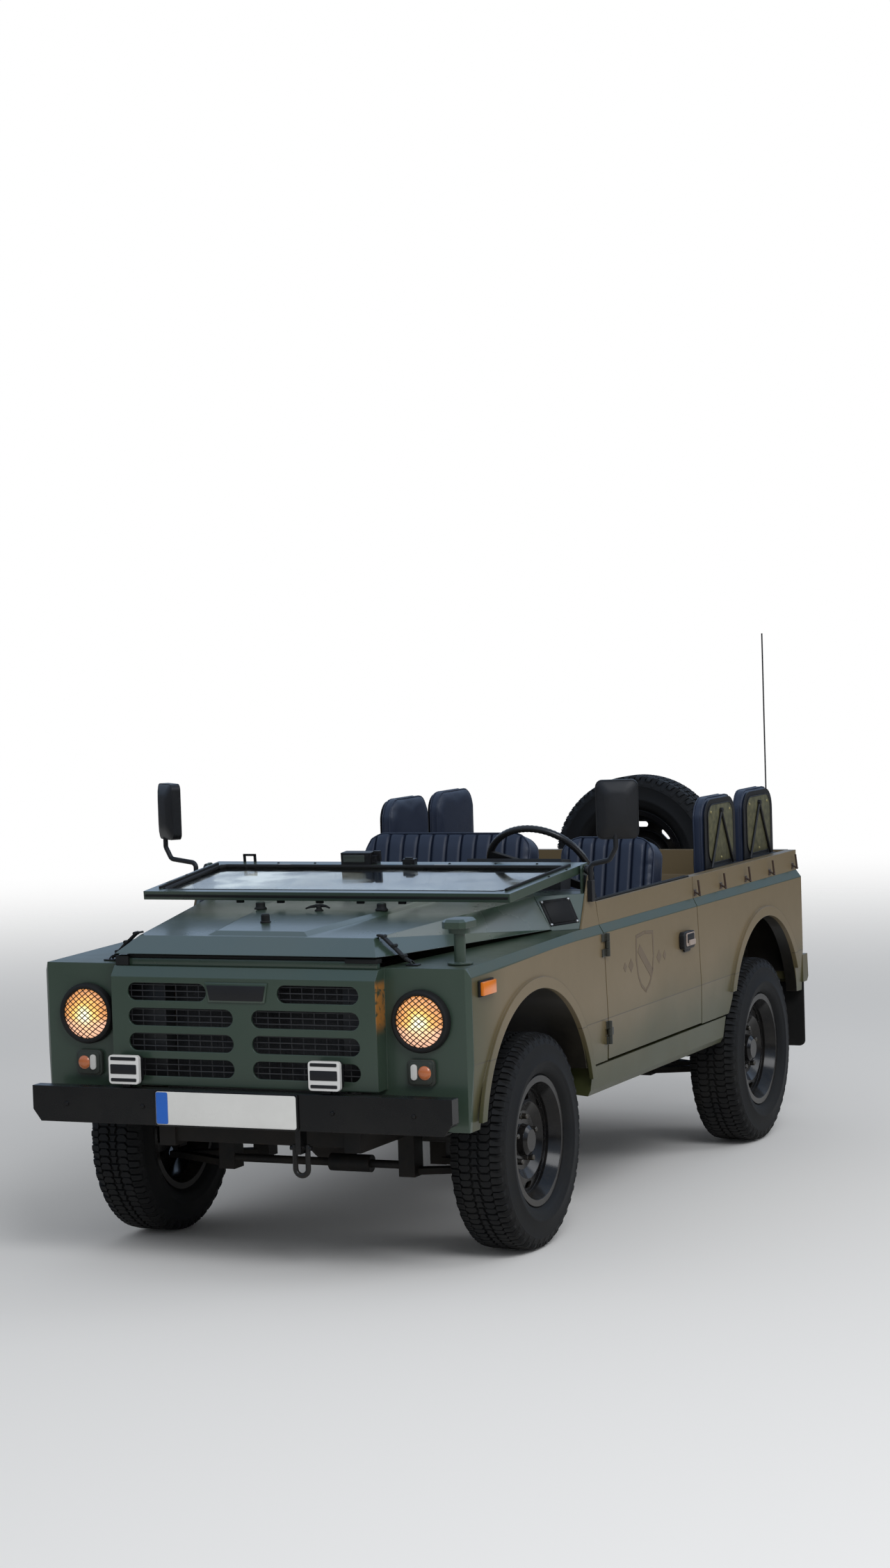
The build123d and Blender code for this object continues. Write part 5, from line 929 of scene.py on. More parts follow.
for side in (-1, 1):
    path = [(440, -534, 1120), (455, -536, 1118), (470, -537, 1107), (490, -538, 1089), (510, -538, 1072),
            (526, -537, 1056), (542, -535, 1042), (556, -534, 1033)]
    add_strap(straps, [(side * x, y, z) for x, y, z in path], (0, 1, 0), 24, 7)
    for x, z in ((462, 1116), (500, 1086), (534, 1053)):
        add_tube(straps, [(side * x, -551, z), (side * x, -521, z)], 6.5, 8)
    add_prism(strap_feet, round_rect(side * 564, -534, 44, 34, 6), "z", 1022.6, 1027)
    add_tube(strap_feet, [(side * 564, -546, 1027), (side * 558, -542, 1036), (side * 556, -534, 1039),
                          (side * 558, -526, 1036), (side * 564, -522, 1027)], 3, 8)
made("bonnet_straps", straps, rubber, "hood", 1.5)
made("strap_feet", strap_feet, case_black, "root", 1)

# Windscreen
# A steel frame folded flat over the bonnet, with the glass in a black rubber channel. The wiper
# motor and a switch sit on the base rail among plain stickers, and black clamps hold the pivots.
glass_clear, tree, shader = new_material("screen_glass")
place = new_node(tree, "ShaderNodeTexCoord").outputs["Object"]
film = new_node(tree, "ShaderNodeTexNoise", Vector=place, Scale=7.0, Detail=6.0)
dress_node(shader, Base_Color=(0.80, 0.88, 0.86), Transmission_Weight=1.0, IOR=1.45,
           Roughness=ramp_value(tree, film.outputs["Fac"], 0.4, 0.8, 0.03, 0.22))
clad(glass_clear, "windscreen_glass")
pivot = Vector((0, 530, 1245))
lean = math.radians(4.8)


def on_screen(x, along, up):
    """Point on the folded screen: x across, along from the pivot and up out of its face."""
    return Vector((x, pivot.y + along * math.cos(lean) - up * math.sin(lean),
                   pivot.z + along * math.sin(lean) + up * math.cos(lean)))


bm = bmesh.new()
hole = [(-658, -530), (658, -530), (691, -13), (-691, -13)]
for height in (-8.8, 8.8):
    corner_path = []
    for k, (x, s) in enumerate(hole):
        for qx, qs in (hole[k - 1], hole[(k + 1) % 4]):
            d = Vector((qx - x, qs - s)).normalized() * 26
            corner_path.append(on_screen(x + d.x, s + d.y, height))
    add_tube(bm, corner_path, 8, 8, closed=True)
made("screen_gasket", bm, rubber, "windscreen")


def screen_bar(bm, start, end, width, low, high):
    """Bar between two (x, along) points on the screen, from one height above its middle to another."""
    line = (Vector(end) - Vector(start)).normalized()
    off = Vector((-line.y, line.x)) * width / 2
    corners = [Vector(start) + off, Vector(end) + off, Vector(end) - off, Vector(start) - off]
    add_plate(bm, [on_screen(c.x, c.y, low) for c in corners], on_screen(0, 0, high) - on_screen(0, 0, low))


bm = bmesh.new()
for side in (-1, 1):
    screen_bar(bm, (side * 668, -522), (side * 701, -16), 9, 14.5, 23)
screen_bar(bm, (-698, -579), (698, -579), 4, -4, 4)
for x in (-329, -170, -19, 138, 296):
    screen_bar(bm, (x - 13, -560), (x + 13, -560), 12, -26, -14.5)
made("screen_strips", bm, rubber, "windscreen", 1)
bm = bmesh.new()
screen_bar(bm, (-199, 20), (-80, 20), 50, 14.5, 58)
screen_bar(bm, (-92, 24), (-62, 24), 34, 14.5, 46)
screen_bar(bm, (-78, 24), (-52, 24), 12, 24, 62)
screen_bar(bm, (43, 16), (90, 16), 26, 14.5, 34)
screen_bar(bm, (52, 12), (80, 12), 12, 33, 40)
for x0, x1, low, high in ((-630, -620, 14.5, 44), (-587, -577, 14.5, 44), (-630, -577, 36, 44)):
    screen_bar(bm, (x0, 54), (x1, 54), 4, low, high)
made("wiper_motor", bm, case_black, "windscreen", 4, 3)
window_grey = coated("window_grey", (0.05, 0.06, 0.055), (0.04, 0.05, 0.045), (0.1, 0.1, 0.1), dust_share=0.1,
                     rough=0.2, coat=0.5)
bm = bmesh.new()
screen_bar(bm, (-190, -6), (-104, -6), 3, 24, 50)
made("motor_window", bm, window_grey, "windscreen", 1.2)
sticker_white = coated("sticker_white", (0.55, 0.57, 0.58), (0.45, 0.47, 0.48), (0.4, 0.4, 0.4), rough=0.4, bump=0.05,
                       dust_share=0.2)
sticker_blue = coated("sticker_blue", (0.08, 0.22, 0.34), (0.07, 0.18, 0.28), (0.2, 0.3, 0.35), rough=0.4, bump=0.05,
                      dust_share=0.2)
whites, blues = bmesh.new(), bmesh.new()
for x, wide, blue in ((-432, 70, False), (-268, 74, True), (2, 50, True), (196, 74, False), (436, 84, True)):
    screen_bar(whites, (x - wide / 2, -2), (x + wide / 2, -2), 22, 14.6, 14.9)
    screen_bar(blues if blue else whites, (x - wide * 0.36, -2), (x + wide * 0.36, -2), 13, 14.7, 15.1)
made("plain_stickers", whites, sticker_white, "windscreen")
made("sticker_fields", blues, sticker_blue, "windscreen")
rail_spots = ((-470, 24), (-320, 24), (220, 24), (400, 24), (560, 24), (712, -240), (-712, -240), (718, -90),
              (-718, -90))
bolted("rail_bolts", [on_screen(x, s, 15) for x, s in rail_spots], bolt_mesh(4, 3, (0, 0, 1)), case_black,
       "windscreen")


def add_side_prism(bm, side, outline, near, far):
    """Pushes an outline along x on one side, between two distances from the car's middle."""
    add_prism(bm, outline, "x", *sorted((side * near, side * far)))


bm = bmesh.new()
for side in (-1, 1):
    add_lathe(bm, [(0, 15), (13, 15), (17, 11), (17, 4), (11, 0), (0, 0)], (side * 751.2, pivot.y, pivot.z),
              (side, 0, 0), 10)
    add_side_prism(bm, side, rect(523, 541, 1092, 1225), 749.4, 757)
made("screen_clamps", bm, case_black, "root", 2)

# Cowl
# On each slanted cheek of the cowl a black pressed cover closes the air duct. It is a stepped
# steel sheet, held by a screw at each of its four corners.
plate_corners = [(641.5, 359, 1148.6), (725.9, 436.3, 1156.6), (766.3, 429.6, 1067.2), (685, 354.4, 1058.1)]
cheek_out = Vector((0.6200, -0.7110, 0.3340)).normalized()
middle = sum((Vector(c) for c in plate_corners), Vector()) / 4
cover_black = coated("cover_black", (0.008, 0.008, 0.009), (0.013, 0.013, 0.013), (0.04, 0.04, 0.04), rough=0.5,
                     bump=0.1, dust_share=0.05, gloss=0.15)
screw_steel = coated("screw_steel", (0.4, 0.4, 0.4), (0.3, 0.29, 0.27), (0.6, 0.6, 0.6), rough=0.35, metal=0.9,
                     dust_share=0.1)


def cheek_ring(share, lift, flip):
    """The cover's corners drawn in to a share of their reach and lifted off the cheek."""
    return [(middle + (Vector(c) - middle) * share + cheek_out * lift) * flip for c in plate_corners]


bm = bmesh.new()
for side in (-1, 1):
    flip = Vector((side, 1, 1))
    add_plate(bm, cheek_ring(0.97, 0.4, flip), cheek_out * flip * 3)
    add_plate(bm, cheek_ring(0.80, 3, flip), cheek_out * flip * 2)
made("duct_covers", bm, cover_black, "root", 1.5)
for side, hand in ((-1, "right"), (1, "left")):
    flip = Vector((side, 1, 1))
    bolted(f"duct_screws_{hand}", cheek_ring(0.86, 3.2, flip), bolt_mesh(4.5, 3.5, cheek_out * flip), screw_steel,
           "root")

# Doors
# Each door has a black cast handle with a pale frame and flap, rubber strips on its top rail, and
# pressings, a pull and a latch inside. The left one carries a generic stencilled shield with a
# diagonal and two diamonds each side, a little darker than the sand.
stencil_brown = coated("stencil_brown", (0.150, 0.112, 0.074), (0.135, 0.10, 0.066), (0.16, 0.12, 0.08), rough=0.5,
                       bump=0.05, dust_share=0.1)
pale_cast = coated("pale_cast", (0.38, 0.31, 0.27), (0.3, 0.24, 0.2), (0.5, 0.42, 0.36), rough=0.4, dust_share=0.15)
door_face, door_inside = 790, 740.2
for side, door in ((1, "left"), (-1, "right")):
    casing, pale, recess, strips, inside, latch = (bmesh.new() for _ in range(6))
    handle_rows = (
        # drawing, middle y, middle z, width, height, corner, from and to above the door's face
        (casing, 1430, 901, 122, 66, 16, 0.3, 21.5),
        (casing, 1440, 868, 66, 26, 8, 0.3, 9),
        (pale, 1436, 904, 92, 50, 9, 21, 24),
        (recess, 1436, 908, 76, 34, 6, 23.6, 24.6),
        (pale, 1442, 892, 64, 20, 5, 24.2, 31),
    )
    for bm, y, z, width, height, corner, low, high in handle_rows:
        add_side_prism(bm, side, round_rect(y, z, width, height, corner), door_face + low, door_face + high)
    for y in (832, 1302):
        add_side_prism(inside, side, round_rect(y, 800, 410, 280, 46), 737, door_inside)
    add_side_prism(latch, side, round_rect(1470, 1000, 96, 44, 10), 733, door_inside)
    latch_arm = [(734, 1490, 1000), (722, 1484, 1004), (719, 1450, 1010), (720, 1424, 1014)]
    add_tube(latch, [(side * x, y, z) for x, y, z in latch_arm], [6, 6, 5, 4], 10)
    pull = [(740, 1190), (716, 1194), (712, 1214), (712, 1296), (716, 1316), (740, 1320)]
    add_tube(latch, [(side * x, y, 1004) for x, y in pull], 8, 12)
    for x in (746, 760):
        add_side_prism(strips, side, rect(574, 1562, 1127.5, 1134), x, x + 7)
    door_rows = (
        # name, drawing, finish, slot, bevel, segments
        ("door_pressings", inside, side_paint, "sand_paint", 2.5, 2),
        ("door_latch", latch, case_black, "black_plastic", 1.5, 2),
        ("handle_case", casing, case_black, "black_plastic", 4, 3),
        ("handle_frame", pale, pale_cast, "bare_steel", 1.5, 2),
        ("handle_recess", recess, case_black, "black_plastic", 0.4, 2),
        ("door_strips", strips, rubber, "black_rubber", 1.5, 2),
    )
    for name, bm, finish, slot, bevel, segments in door_rows:
        made(f"{name}_{door}", bm, finish, f"door_{door}", bevel, segments)
shield_y, shield_z = 1003, 868
paint_low, paint_high = 790.1, 790.5
shield = [(912, 972), (1003, 980), (1094, 972), (1098, 880), (1082, 820), (1050, 778), (1003, 752), (956, 778),
          (924, 820), (908, 880)]
bridged = (1, 3, 6, 8)
bm = bmesh.new()
for k in range(len(shield)):
    outer = shield[k], shield[(k + 1) % len(shield)]
    inner = [(shield_y + (y - shield_y) * 0.87, shield_z + (z - shield_z) * 0.89) for y, z in outer]
    gap = 0.06 if k in bridged else 0.0
    (y0, z0), (y1, z1) = [(a[0] + (b[0] - a[0]) * gap, a[1] + (b[1] - a[1]) * gap) for a, b in (outer, inner)]
    add_prism(bm, [(y0, z0), outer[1], inner[1], (y1, z1)], "x", paint_low, paint_high)
add_prism(bm, [(928, 908), (950, 936), (1078, 832), (1056, 804)], "x", paint_low, paint_high)
for way in (-1, 1):
    for reach, half in ((146, 26), (206, 18)):
        y, z = shield_y + way * reach, shield_z
        add_prism(bm, [(y - half, z), (y, z - half), (y + half, z), (y, z + half)], "x", paint_low, paint_high)
made("door_shield", bm, stencil_brown, "door_left")

# Cabin
# The dashboard is a black moulded shelf; the steering wheel has a thin grooved rim of black
# plastic on two steel spokes.
cabin_black = coated("cabin_black", (0.014, 0.015, 0.017), (0.022, 0.023, 0.025), (0.05, 0.05, 0.05), rough=0.5,
                     bump=0.5, grain_scale=600.0, dust_share=0.12)
clad(cabin_black, "dashboard", "controls", "steering_wheel")
column_axis = Vector((0, math.cos(math.radians(35)), math.sin(math.radians(35))))
wheel_middle = Vector((445, 860, 1215))
wheel_down = column_axis.cross(Vector((1, 0, 0)))
grip_black = coated("grip_black", (0.010, 0.010, 0.011), (0.018, 0.018, 0.018), (0.04, 0.04, 0.04), rough=0.3, bump=0.1,
                    dust_share=0.05, radius=0.002, coat=0.2)
bm = bmesh.new()
grip_turns = [k * math.pi / 72 for k in range(144)]
grip_path = [wheel_middle + 193 * (math.cos(a) * Vector((1, 0, 0)) + math.sin(a) * wheel_down) for a in grip_turns]
add_tube(bm, grip_path, [12.3 if k % 2 else 13.6 for k in range(144)], 12, closed=True)
add_lathe(bm, [(34.5, 2), (34.5, 5), (30, 9), (18, 13), (0, 14)], wheel_middle, column_axis, 28)
made("wheel_grip", bm, grip_black, "steering_wheel", angle=50)
dial_black = coated("dial_black", (0.006, 0.006, 0.007), (0.009, 0.009, 0.009), (0.02, 0.02, 0.02), rough=0.35,
                    dust_share=0.03)
dial_white = coated("dial_white", (0.6, 0.6, 0.58), (0.5, 0.5, 0.48), (0.6, 0.6, 0.6), rough=0.5, dust_share=0.03)
dial_rows = (
    # x, z, radius
    (340, 1190, 47),
    (452, 1190, 47),
    (262, 1190, 24),
    (540, 1190, 24),
)
dial_axis = Vector((0, 0.992, -0.126)).normalized()
dial_up = Vector((0, 0.126, 0.992))
bezels, ticks = bmesh.new(), bmesh.new()
for x, z, radius in dial_rows:
    face = Vector((x, 770.3 + (z - 1100) / 158 * 20 + 0.4, z))
    add_lathe(bezels, [(0, 0.5), (radius - 7, 0.5), (radius - 5, 5), (radius - 2, 7), (radius, 4), (radius, 0)], face,
              dial_axis, 36)
    for k in range(11):
        angle = math.radians(-120 + 24 * k)
        way = math.sin(angle) * Vector((-1, 0, 0)) + math.cos(angle) * dial_up
        add_tube(ticks, [face + dial_axis * 1.2 + way * (radius * share) for share in (0.62, 0.76)], 0.9, 4)
    way = Vector((0.7, 0, 0)) + 0.7 * dial_up
    add_tube(ticks, [face + dial_axis * 2, face + dial_axis * 2 + way * radius * 0.6], 0.8, 4)
made("dial_bezels", bezels, dial_black, "root")
made("dial_marks", ticks, dial_white, "root")
bm = bmesh.new()
for k in range(9):
    x = -480 + 120 * k
    add_prism(bm, round_rect(x, 2240, 34, 1080, 14), "z", 627.6, 632)
made("load_floor_ribs", bm, side_paint, "root", 2)
mat_rubber = coated("mat_rubber", (0.010, 0.010, 0.011), (0.018, 0.018, 0.018), (0.03, 0.03, 0.03), rough=0.7, bump=0.4,
                    dust=(0.12, 0.10, 0.08), dust_share=0.5, radius=0.001)
bm = bmesh.new()
for x0, x1 in ((-630, -70), (175, 630)):
    add_prism(bm, rect(x0, x1, 475, 1040), "z", 508.2, 512)
    count = int((x1 - x0) / 28)
    for k in range(1, count):
        x = x0 + (x1 - x0) * k / count
        add_prism(bm, rect(x - 5, x + 5, 490, 1025), "z", 511.5, 514.5)
made("footwell_mats", bm, mat_rubber, "root", 0.8, 1)

# Engine bay
# Seen only with the bonnet up: a ribbed rocker cover, a round air filter, a battery on its shelf
# at the bulkhead and the top hose from the radiator.
bm = bmesh.new()
add_prism(bm, round_rect(60, 30, 150, 470, 22), "z", 959.6, 1004)
for k in range(9):
    add_prism(bm, round_rect(60, -160 + 47 * k, 120, 12, 5), "z", 1003, 1011)
add_lathe(bm, [(0, 20), (22, 20), (26, 15), (26, 0)], (60, 245, 1004), (0, 0, 1), 12)
made("rocker_cover", bm, cast_iron, "root", 6)
bm = bmesh.new()
add_lathe(bm, [(0, 62), (14, 62), (16, 56), (104, 54), (112, 48), (112, 30), (106, 26), (106, 0), (30, -6), (30, -40)],
          (-92, 40, 1000), (0, 0, 1), 40)
made("air_filter", bm, case_black, "root", 2)
bm = bmesh.new()
add_prism(bm, round_rect(-275, 374, 172, 130, 6), "z", 846, 1008)
for x in (-330, -220):
    add_lathe(bm, [(0, 14), (9, 14), (10, 0)], (x, 332, 1008), (0, 0, 1), 12)
add_prism(bm, round_rect(-275, 376, 200, 150, 4), "z", 838, 846)
add_plate(bm, [(-372, 448, 838), (-178, 448, 838), (-178, 448, 740), (-372, 448, 740)], (0, 4, 0))
made("battery", bm, case_black, "root", 3)
bm = bmesh.new()
hose = [(212, -468, 918), (212, -430, 918), (206, -380, 922), (180, -330, 930), (140, -290, 934), (110, -250, 932),
        (100, -226, 930)]
add_tube(bm, hose, 21, 16)
for a, b in ((0, 1), (5, 6)):
    add_tube(bm, [hose[a], (Vector(hose[a]) + Vector(hose[b])) / 2], 23.5, 16)
made("coolant_hose", bm, rubber, "root", angle=50)

# Mirrors, mudflaps, aerial and intake post
# Black moulded mirror heads on bent arms with glass in the rear face, rubber mudflaps behind the
# rear wheels, a whip aerial, and the green intake post with its faceted cap.
clad(case_black, "mirrors", "antenna")
clad(rubber, "mudflaps")
clad(green_paint, "intake_post")
mirror_silver = coated("mirror_silver", (0.75, 0.77, 0.78), (0.7, 0.72, 0.73), (0.8, 0.8, 0.8), rough=0.05, spread=0.03,
                       bump=0.0, metal=1.0, dust_share=0.08)
mirror_rows = (
    # x, y, turn of the head
    (881.7, 523.6, 20.0),
    (-890.2, 502.3, -41.0),
)
glasses, rims = bmesh.new(), bmesh.new()
for x, y, head_turn in mirror_rows:
    turned = Matrix.Translation((x, y, 1458)) @ Matrix.Rotation(math.radians(head_turn), 4, "Z")
    sheet_rows = ((glasses, 128, 184, 18, 16.5, 18.4), (rims, 144, 202, 22, 14, 17.6))
    for target, width, height, radius, y0, y1 in sheet_rows:
        drawn = bmesh.new()
        add_prism(drawn, round_rect(0, 0, width, height, radius), "y", y0, y1)
        bmesh.ops.transform(drawn, matrix=turned, verts=drawn.verts)
        held = bpy.data.meshes.new("held")
        drawn.to_mesh(held)
        drawn.free()
        target.from_mesh(held)
        bpy.data.meshes.remove(held)
made("mirror_rims", rims, case_black, "root", 2)
bm = bmesh.new()
for x, y, head_turn in mirror_rows:
    turned = Matrix.Translation((x, y, 1458)) @ Matrix.Rotation(math.radians(head_turn), 4, "Z")
    rings = []
    shell_rows = ((146, 204, 22, -16.6), (132, 190, 26, -22), (86, 132, 24, -31), (70, 112, 20, -33))
    for width, height, radius, depth in shell_rows:
        rings.append([bm.verts.new(turned @ Vector((u, depth, v)))
                      for u, v in round_rect(0, 0, width, height, radius)])
    for a, b in zip(rings, rings[1:]):
        for k in range(len(a)):
            n = (k + 1) % len(a)
            bm.faces.new((a[k], a[n], b[n], b[k]))
    bm.faces.new(rings[0])
    bm.faces.new(rings[-1])
made("mirror_shells", bm, case_black, "root", 1.5)
made("mirror_glasses", glasses, mirror_silver, "root", 0.6)

# Tailgate
# The drop-down gate is stiffened by pressed swages and turns on two strap hinges; a latch at each
# top corner and a steel plate with four bolts carry the load and the spare wheel.
bm = bmesh.new()
for side in (-1, 1):
    for z in (720, 830, 940, 1050):
        add_prism(bm, round_rect(side * 360, z, 330, 44, 20), "y", 2879.4, 2884)
for side in (-1, 1):
    for z in (770, 960):
        add_prism(bm, round_rect(side * 262, z, 440, 130, 40), "y", 2837, 2840.3)
made("tailgate_swages", bm, side_paint, "tailgate", 2.5)
gate_black, gate_hinges = bmesh.new(), bmesh.new()
for side in (-1, 1):
    add_prism(gate_black, round_rect(side * 566, 1096, 56, 34, 6), "y", 2879.6, 2894)
    add_tube(gate_black, [(side * 582, 2890, 1100), (side * 582, 2906, 1104), (side * 552, 2908, 1092)], 5, 8)
    add_prism(gate_hinges, round_rect(side * 430, 668, 38, 78, 8), "y", 2879.6, 2885)
    add_tube(gate_hinges, [(side * 430 - 26, 2884, 620), (side * 430 + 26, 2884, 620)], 7, 12)
made("tailgate_latches", gate_black, case_black, "tailgate", 2)
made("tailgate_straps", gate_hinges, side_paint, "tailgate", 1.5)
bolted("carrier_bolts", [(x, 2902, z) for x in (-90, 90) for z in (970, 1092)], bolt_mesh(9, 7, (0, 1, 0)), nut_steel,
       "tailgate")

# Jump seat panels
# An olive hardboard panel, riveted in the black steel frame, closes the back of each of the four
# folding seats in the load bay.
clad(case_black, "jump_seat_frames")
hardboard = coated("hardboard", (0.105, 0.098, 0.048), (0.048, 0.047, 0.024), (0.16, 0.15, 0.08), rough=0.6, bump=0.4,
                   scale=34.0, grain_scale=260.0, dust_share=0.15, tone_share=0.9)
rivet_brass = coated("rivet_brass", (0.42, 0.36, 0.16), (0.3, 0.25, 0.12), (0.5, 0.45, 0.25), rough=0.4, metal=0.6,
                     dust_share=0.1)
panels, edging = bmesh.new(), bmesh.new()
rivet_points = {-1: [], 1: []}
jump_middles = (2120.0, 2595.0)
for side in (-1, 1):
    for middle_y in jump_middles:
        outline = [(y, max(z, 1142.0)) for y, z in round_rect(middle_y, 1257.5, 300, 231, 56, 7)]
        add_side_prism(panels, side, outline, 704.4, 706.0)
        add_tube(edging, [(side * 706.2, y, z) for y, z in outline], 2.2, 6, closed=True)
        rivet_points[side] += [(side * 705.8, middle_y + dy, z) for dy, z in ((-112, 1345), (112, 1345), (0, 1158))]
made("jump_panels", panels, hardboard, "root", 0.5)
made("jump_panel_edges", edging, case_black, "root")
for side, hand in ((-1, "right"), (1, "left")):
    bolted(f"jump_rivets_{hand}", rivet_points[side], bolt_mesh(5, 3, (side, 0, 0)), rivet_brass, "root")


# Seats
# Foam cushions and backs under navy vinyl, sewn in upright channels with a welt round the edge.
# The front pair stands on steel boxes, and four small seats face inwards over the rear wheels.
# The channel grooves are darkened and their sheen cut, partly as painted shade.
def seam_shade_colours(tree):
    """Navy, darker along the sewn channel grooves, partly as painted shade; the pads mark the grooves point by point.
    """
    seam_shade = new_node(tree, "ShaderNodeAttribute", attribute_name="seam_shade")
    return mix_colour(tree, seam_shade.outputs["Fac"], (0.013, 0.020, 0.042), (0.002, 0.003, 0.006))


# the vinyl's edge tone is darker than the navy, so the creases the edge mask finds get painted shade; its dust tone is
# darker too, so the dust mask darkens low and upward-facing areas
vinyl = coated("navy_vinyl", (0.013, 0.020, 0.042), (0.017, 0.025, 0.048), (0.005, 0.007, 0.012), dust_share=0.3,
               dust=(0.004, 0.005, 0.009), rough=0.44, bump=0.35, scale=9.0, grain_scale=420.0, radius=0.003,
               gloss=0.4, tone_share=0.2, colour=seam_shade_colours)
# the groove mark also cuts the sheen in the grooves, as painted shade
seam_shade_mark = new_node(vinyl.node_tree, "ShaderNodeAttribute", attribute_name="seam_shade")
vinyl.node_tree.links.new(ramp_value(vinyl.node_tree, seam_shade_mark.outputs["Fac"], 0.0, 0.5, 0.4, 0.0),
                          vinyl.node_tree.nodes["Principled BSDF"].inputs["Specular IOR Level"])


def loose_solids(node_name):
    """Separate closed solids of a CAD node as merged meshes, found in the same order each run."""
    bm = bmesh.new()
    bm.from_mesh(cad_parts[node_name].data)
    bmesh.ops.remove_doubles(bm, verts=bm.verts, dist=1e-5)
    left = dict.fromkeys(bm.verts)
    groups = []
    while left:
        stack = [left.popitem()[0]]
        group = dict.fromkeys(stack)
        while stack:
            for edge in stack.pop().link_edges:
                for vert in edge.verts:
                    if vert in left:
                        del left[vert]
                        group[vert] = None
                        stack.append(vert)
        groups.append(group)
    meshes = []
    for group in groups:
        index = {v: k for k, v in enumerate(group)}
        faces = [[index[v] for v in f.verts] for f in bm.faces if f.verts[0] in group]
        mesh = bpy.data.meshes.new(node_name + "_solid")
        mesh.from_pydata([v.co[:] for v in group], [], faces)
        meshes.append(mesh)
    bm.free()
    return meshes


def stuffed(name, mesh, voxel, swell, cap):
    """Pad from a solid: remeshed, swollen by air pressure as cloth, then made smooth."""
    points = [v.co for v in mesh.vertices]
    low = Vector([min(p[i] for p in points) for i in range(3)])
    high = Vector([max(p[i] for p in points) for i in range(3)])
    centre, size = (low + high) / 2, high - low
    shrink = Matrix.Translation(centre) @ Matrix.Diagonal([1 - 2 * swell / s for s in size]).to_4x4() \
        @ Matrix.Translation(-centre)
    mesh.transform(shrink)
    pad = bpy.data.objects.new(name, mesh)
    scene.collection.objects.link(pad)
    remesh = pad.modifiers.new("even", "REMESH")
    remesh.mode = "VOXEL"
    remesh.voxel_size = voxel
    graph = bpy.context.evaluated_depsgraph_get()
    even = bpy.data.meshes.new_from_object(pad.evaluated_get(graph), depsgraph=graph)
    pad.modifiers.remove(remesh)
    pad.data = even
    rest = [v.co.copy() for v in even.vertices]
    cloth = pad.modifiers.new("air", "CLOTH")
    cloth.settings.quality = 4
    cloth.settings.use_pressure = True
    cloth.settings.uniform_pressure_force = 4
    cloth.settings.effector_weights.gravity = 0
    cloth.point_cache.frame_start = 1
    cloth.point_cache.frame_end = 20
    for number in range(1, 21):
        scene.frame_set(number)
    graph = bpy.context.evaluated_depsgraph_get()
    blown = pad.evaluated_get(graph).data
    for vert, old, new in zip(even.vertices, rest, [v.co.copy() for v in blown.vertices]):
        step = new - old
        if step.length > cap:
            step = step.normalized() * cap
        vert.co = old + step
    pad.modifiers.remove(cloth)
    scene.frame_set(1)
    smooth = pad.modifiers.new("smooth", "SMOOTH")
    smooth.factor = 0.5
    smooth.iterations = 6
    finer = pad.modifiers.new("finer", "SUBSURF")
    finer.levels = finer.render_levels = 1
    graph = bpy.context.evaluated_depsgraph_get()
    done = bpy.data.meshes.new_from_object(pad.evaluated_get(graph), depsgraph=graph)
    bpy.data.objects.remove(pad)
    return done


def channelled(mesh, across, facing_way, pitch, offset, depth, width):
    """Presses sewn channels into the face of a pad, across one axis, and marks them for a darker, duller tone that is
    partly painted shade.
    """
    marks = mesh.attributes.new("seam_shade", "FLOAT", "POINT")
    for vert, normal in zip(mesh.vertices, [n.vector.copy() for n in mesh.vertex_normals]):
        share = max(0.0, normal.dot(facing_way) - 0.25) / 0.75
        if share <= 0:
            continue
        spot = (vert.co[across] - offset) / pitch
        gap = abs(spot - round(spot)) * pitch
        vert.co -= normal * (depth * share * math.exp(-(gap / width) ** 2))
        marks.data[vert.index].value = min(0.8, 1.2 * share) * math.exp(-(1.7 * gap / width) ** 2)


pad_surfaces = []


def made_pad(name, mesh, nodes):
    mesh.name = name
    mesh.materials.clear()
    mesh.materials.append(vinyl)
    mesh.polygons.foreach_set("use_smooth", [True] * len(mesh.polygons))
    pad = put(name, mesh, "root")
    surface = BVHTree.FromPolygons([v.co.copy() for v in mesh.vertices], [p.vertices[:] for p in mesh.polygons])
    pad_surfaces.append(surface)
    if nodes:
        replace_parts(pad, *nodes)
    return pad


front_rows = (
    # node, name, channels
    ("driver_seat", "driver", 8),
    ("passenger_bench", "bench", 12),
)
for node_name, label, channels in front_rows:
    solids = sorted(loose_solids(node_name), key=lambda m: max(v.co.z for v in m.vertices))
    for kind, solid in zip(("cushion", "back"), solids):
        xs = [v.co.x for v in solid.vertices]
        wide = max(xs) - min(xs)
        mesh = stuffed(f"{label}_{kind}", solid, 0.009 if wide < 0.5 else 0.011, 0.008, 0.012)
        facing_way = Vector((0, 0, 1)) if kind == "cushion" else Vector((0, -0.97, 0.24))
        channelled(mesh, 0, facing_way, wide / channels, min(xs) + wide / channels, 0.009, 0.006)
        made_pad(f"{label}_{kind}", mesh, [node_name] if kind == "cushion" else [])
pair_split = metres(0, sum(jump_middles) / 2, 0).y


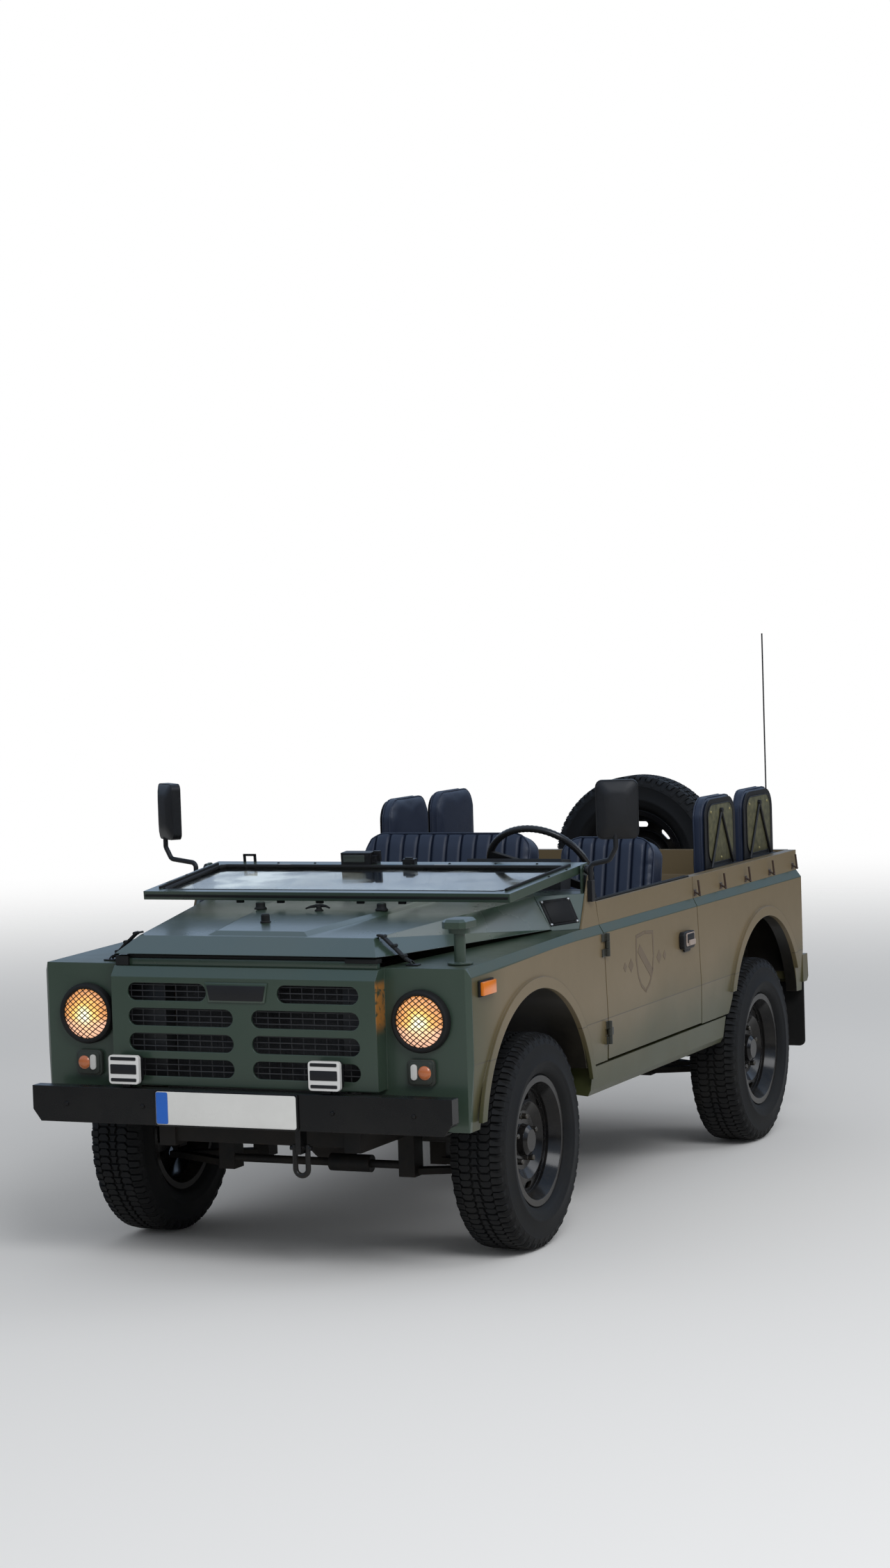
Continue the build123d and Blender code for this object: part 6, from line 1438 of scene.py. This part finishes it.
def seat_order(mesh):
    """Right side first, then from front to back, each back before its cushion."""
    centre = sum((v.co for v in mesh.vertices), Vector()) / len(mesh.vertices)
    return centre.x > 0, centre.y > pair_split, -centre.z


for k, solid in enumerate(sorted(loose_solids("jump_seats"), key=seat_order)):
    points = [v.co for v in solid.vertices]
    thin = max(p.x for p in points) - min(p.x for p in points) < 0.1
    ys = [p.y for p in points]
    mesh = stuffed(f"jump_pad_{k}", solid, 0.009, 0.006, 0.009)
    if not thin:
        channelled(mesh, 1, Vector((0, 0, 1)), (max(ys) - min(ys)) / 4, min(ys), 0.007, 0.006)
    made_pad(f"jump_{'back' if thin else 'cushion'}_{k}", mesh, ["jump_seats"] if k == 0 else [])

welts = bmesh.new()


def arched(half, low, high, corner):
    """Points up one side, over two round corners and down the other: (across, up)."""
    points = [(-half, low)]
    for start, middle_u in ((180, -half + corner), (90, half - corner)):
        for k in range(9):
            angle = math.radians(start - 90 * k / 8)
            points.append((middle_u + corner * math.cos(angle), high - corner + corner * math.sin(angle)))
    return points + [(half, low)]


def laid(path):
    """The path moved onto the nearest pad."""
    moved = []
    for point in path:
        found = [surface.find_nearest(metres(*point)) for surface in pad_surfaces]
        spot, normal = min((f for f in found if f[0] is not None), key=lambda f: f[3])[:2]
        moved.append(spot * 1000 - Vector((0, axle_y * 1000, 0)) + normal * 1.0)
    return moved


for side in (-1, 1):
    for middle_y in jump_middles:
        for x in (650.0, 700.0):
            add_tube(welts, laid([(side * x, middle_y + u, v) for u, v in arched(204, 1100, 1426, 97)]), 3.2, 8)
tilt_cos, tilt_sin = math.cos(math.radians(14)), math.sin(math.radians(14))
for middle_x, half, high in ((472.0, 208.0, 430.0), (-199.0, 371.0, 448.0)):
    for depth in (0.0, 110.0):
        add_tube(welts, laid([(middle_x + u, 1380 + depth * tilt_cos + v * tilt_sin,
                               888 - depth * tilt_sin + v * tilt_cos) for u, v in arched(half, 14, high, 88)]), 3.2, 8)
made("seat_welts", welts, vinyl, "root", angle=60)
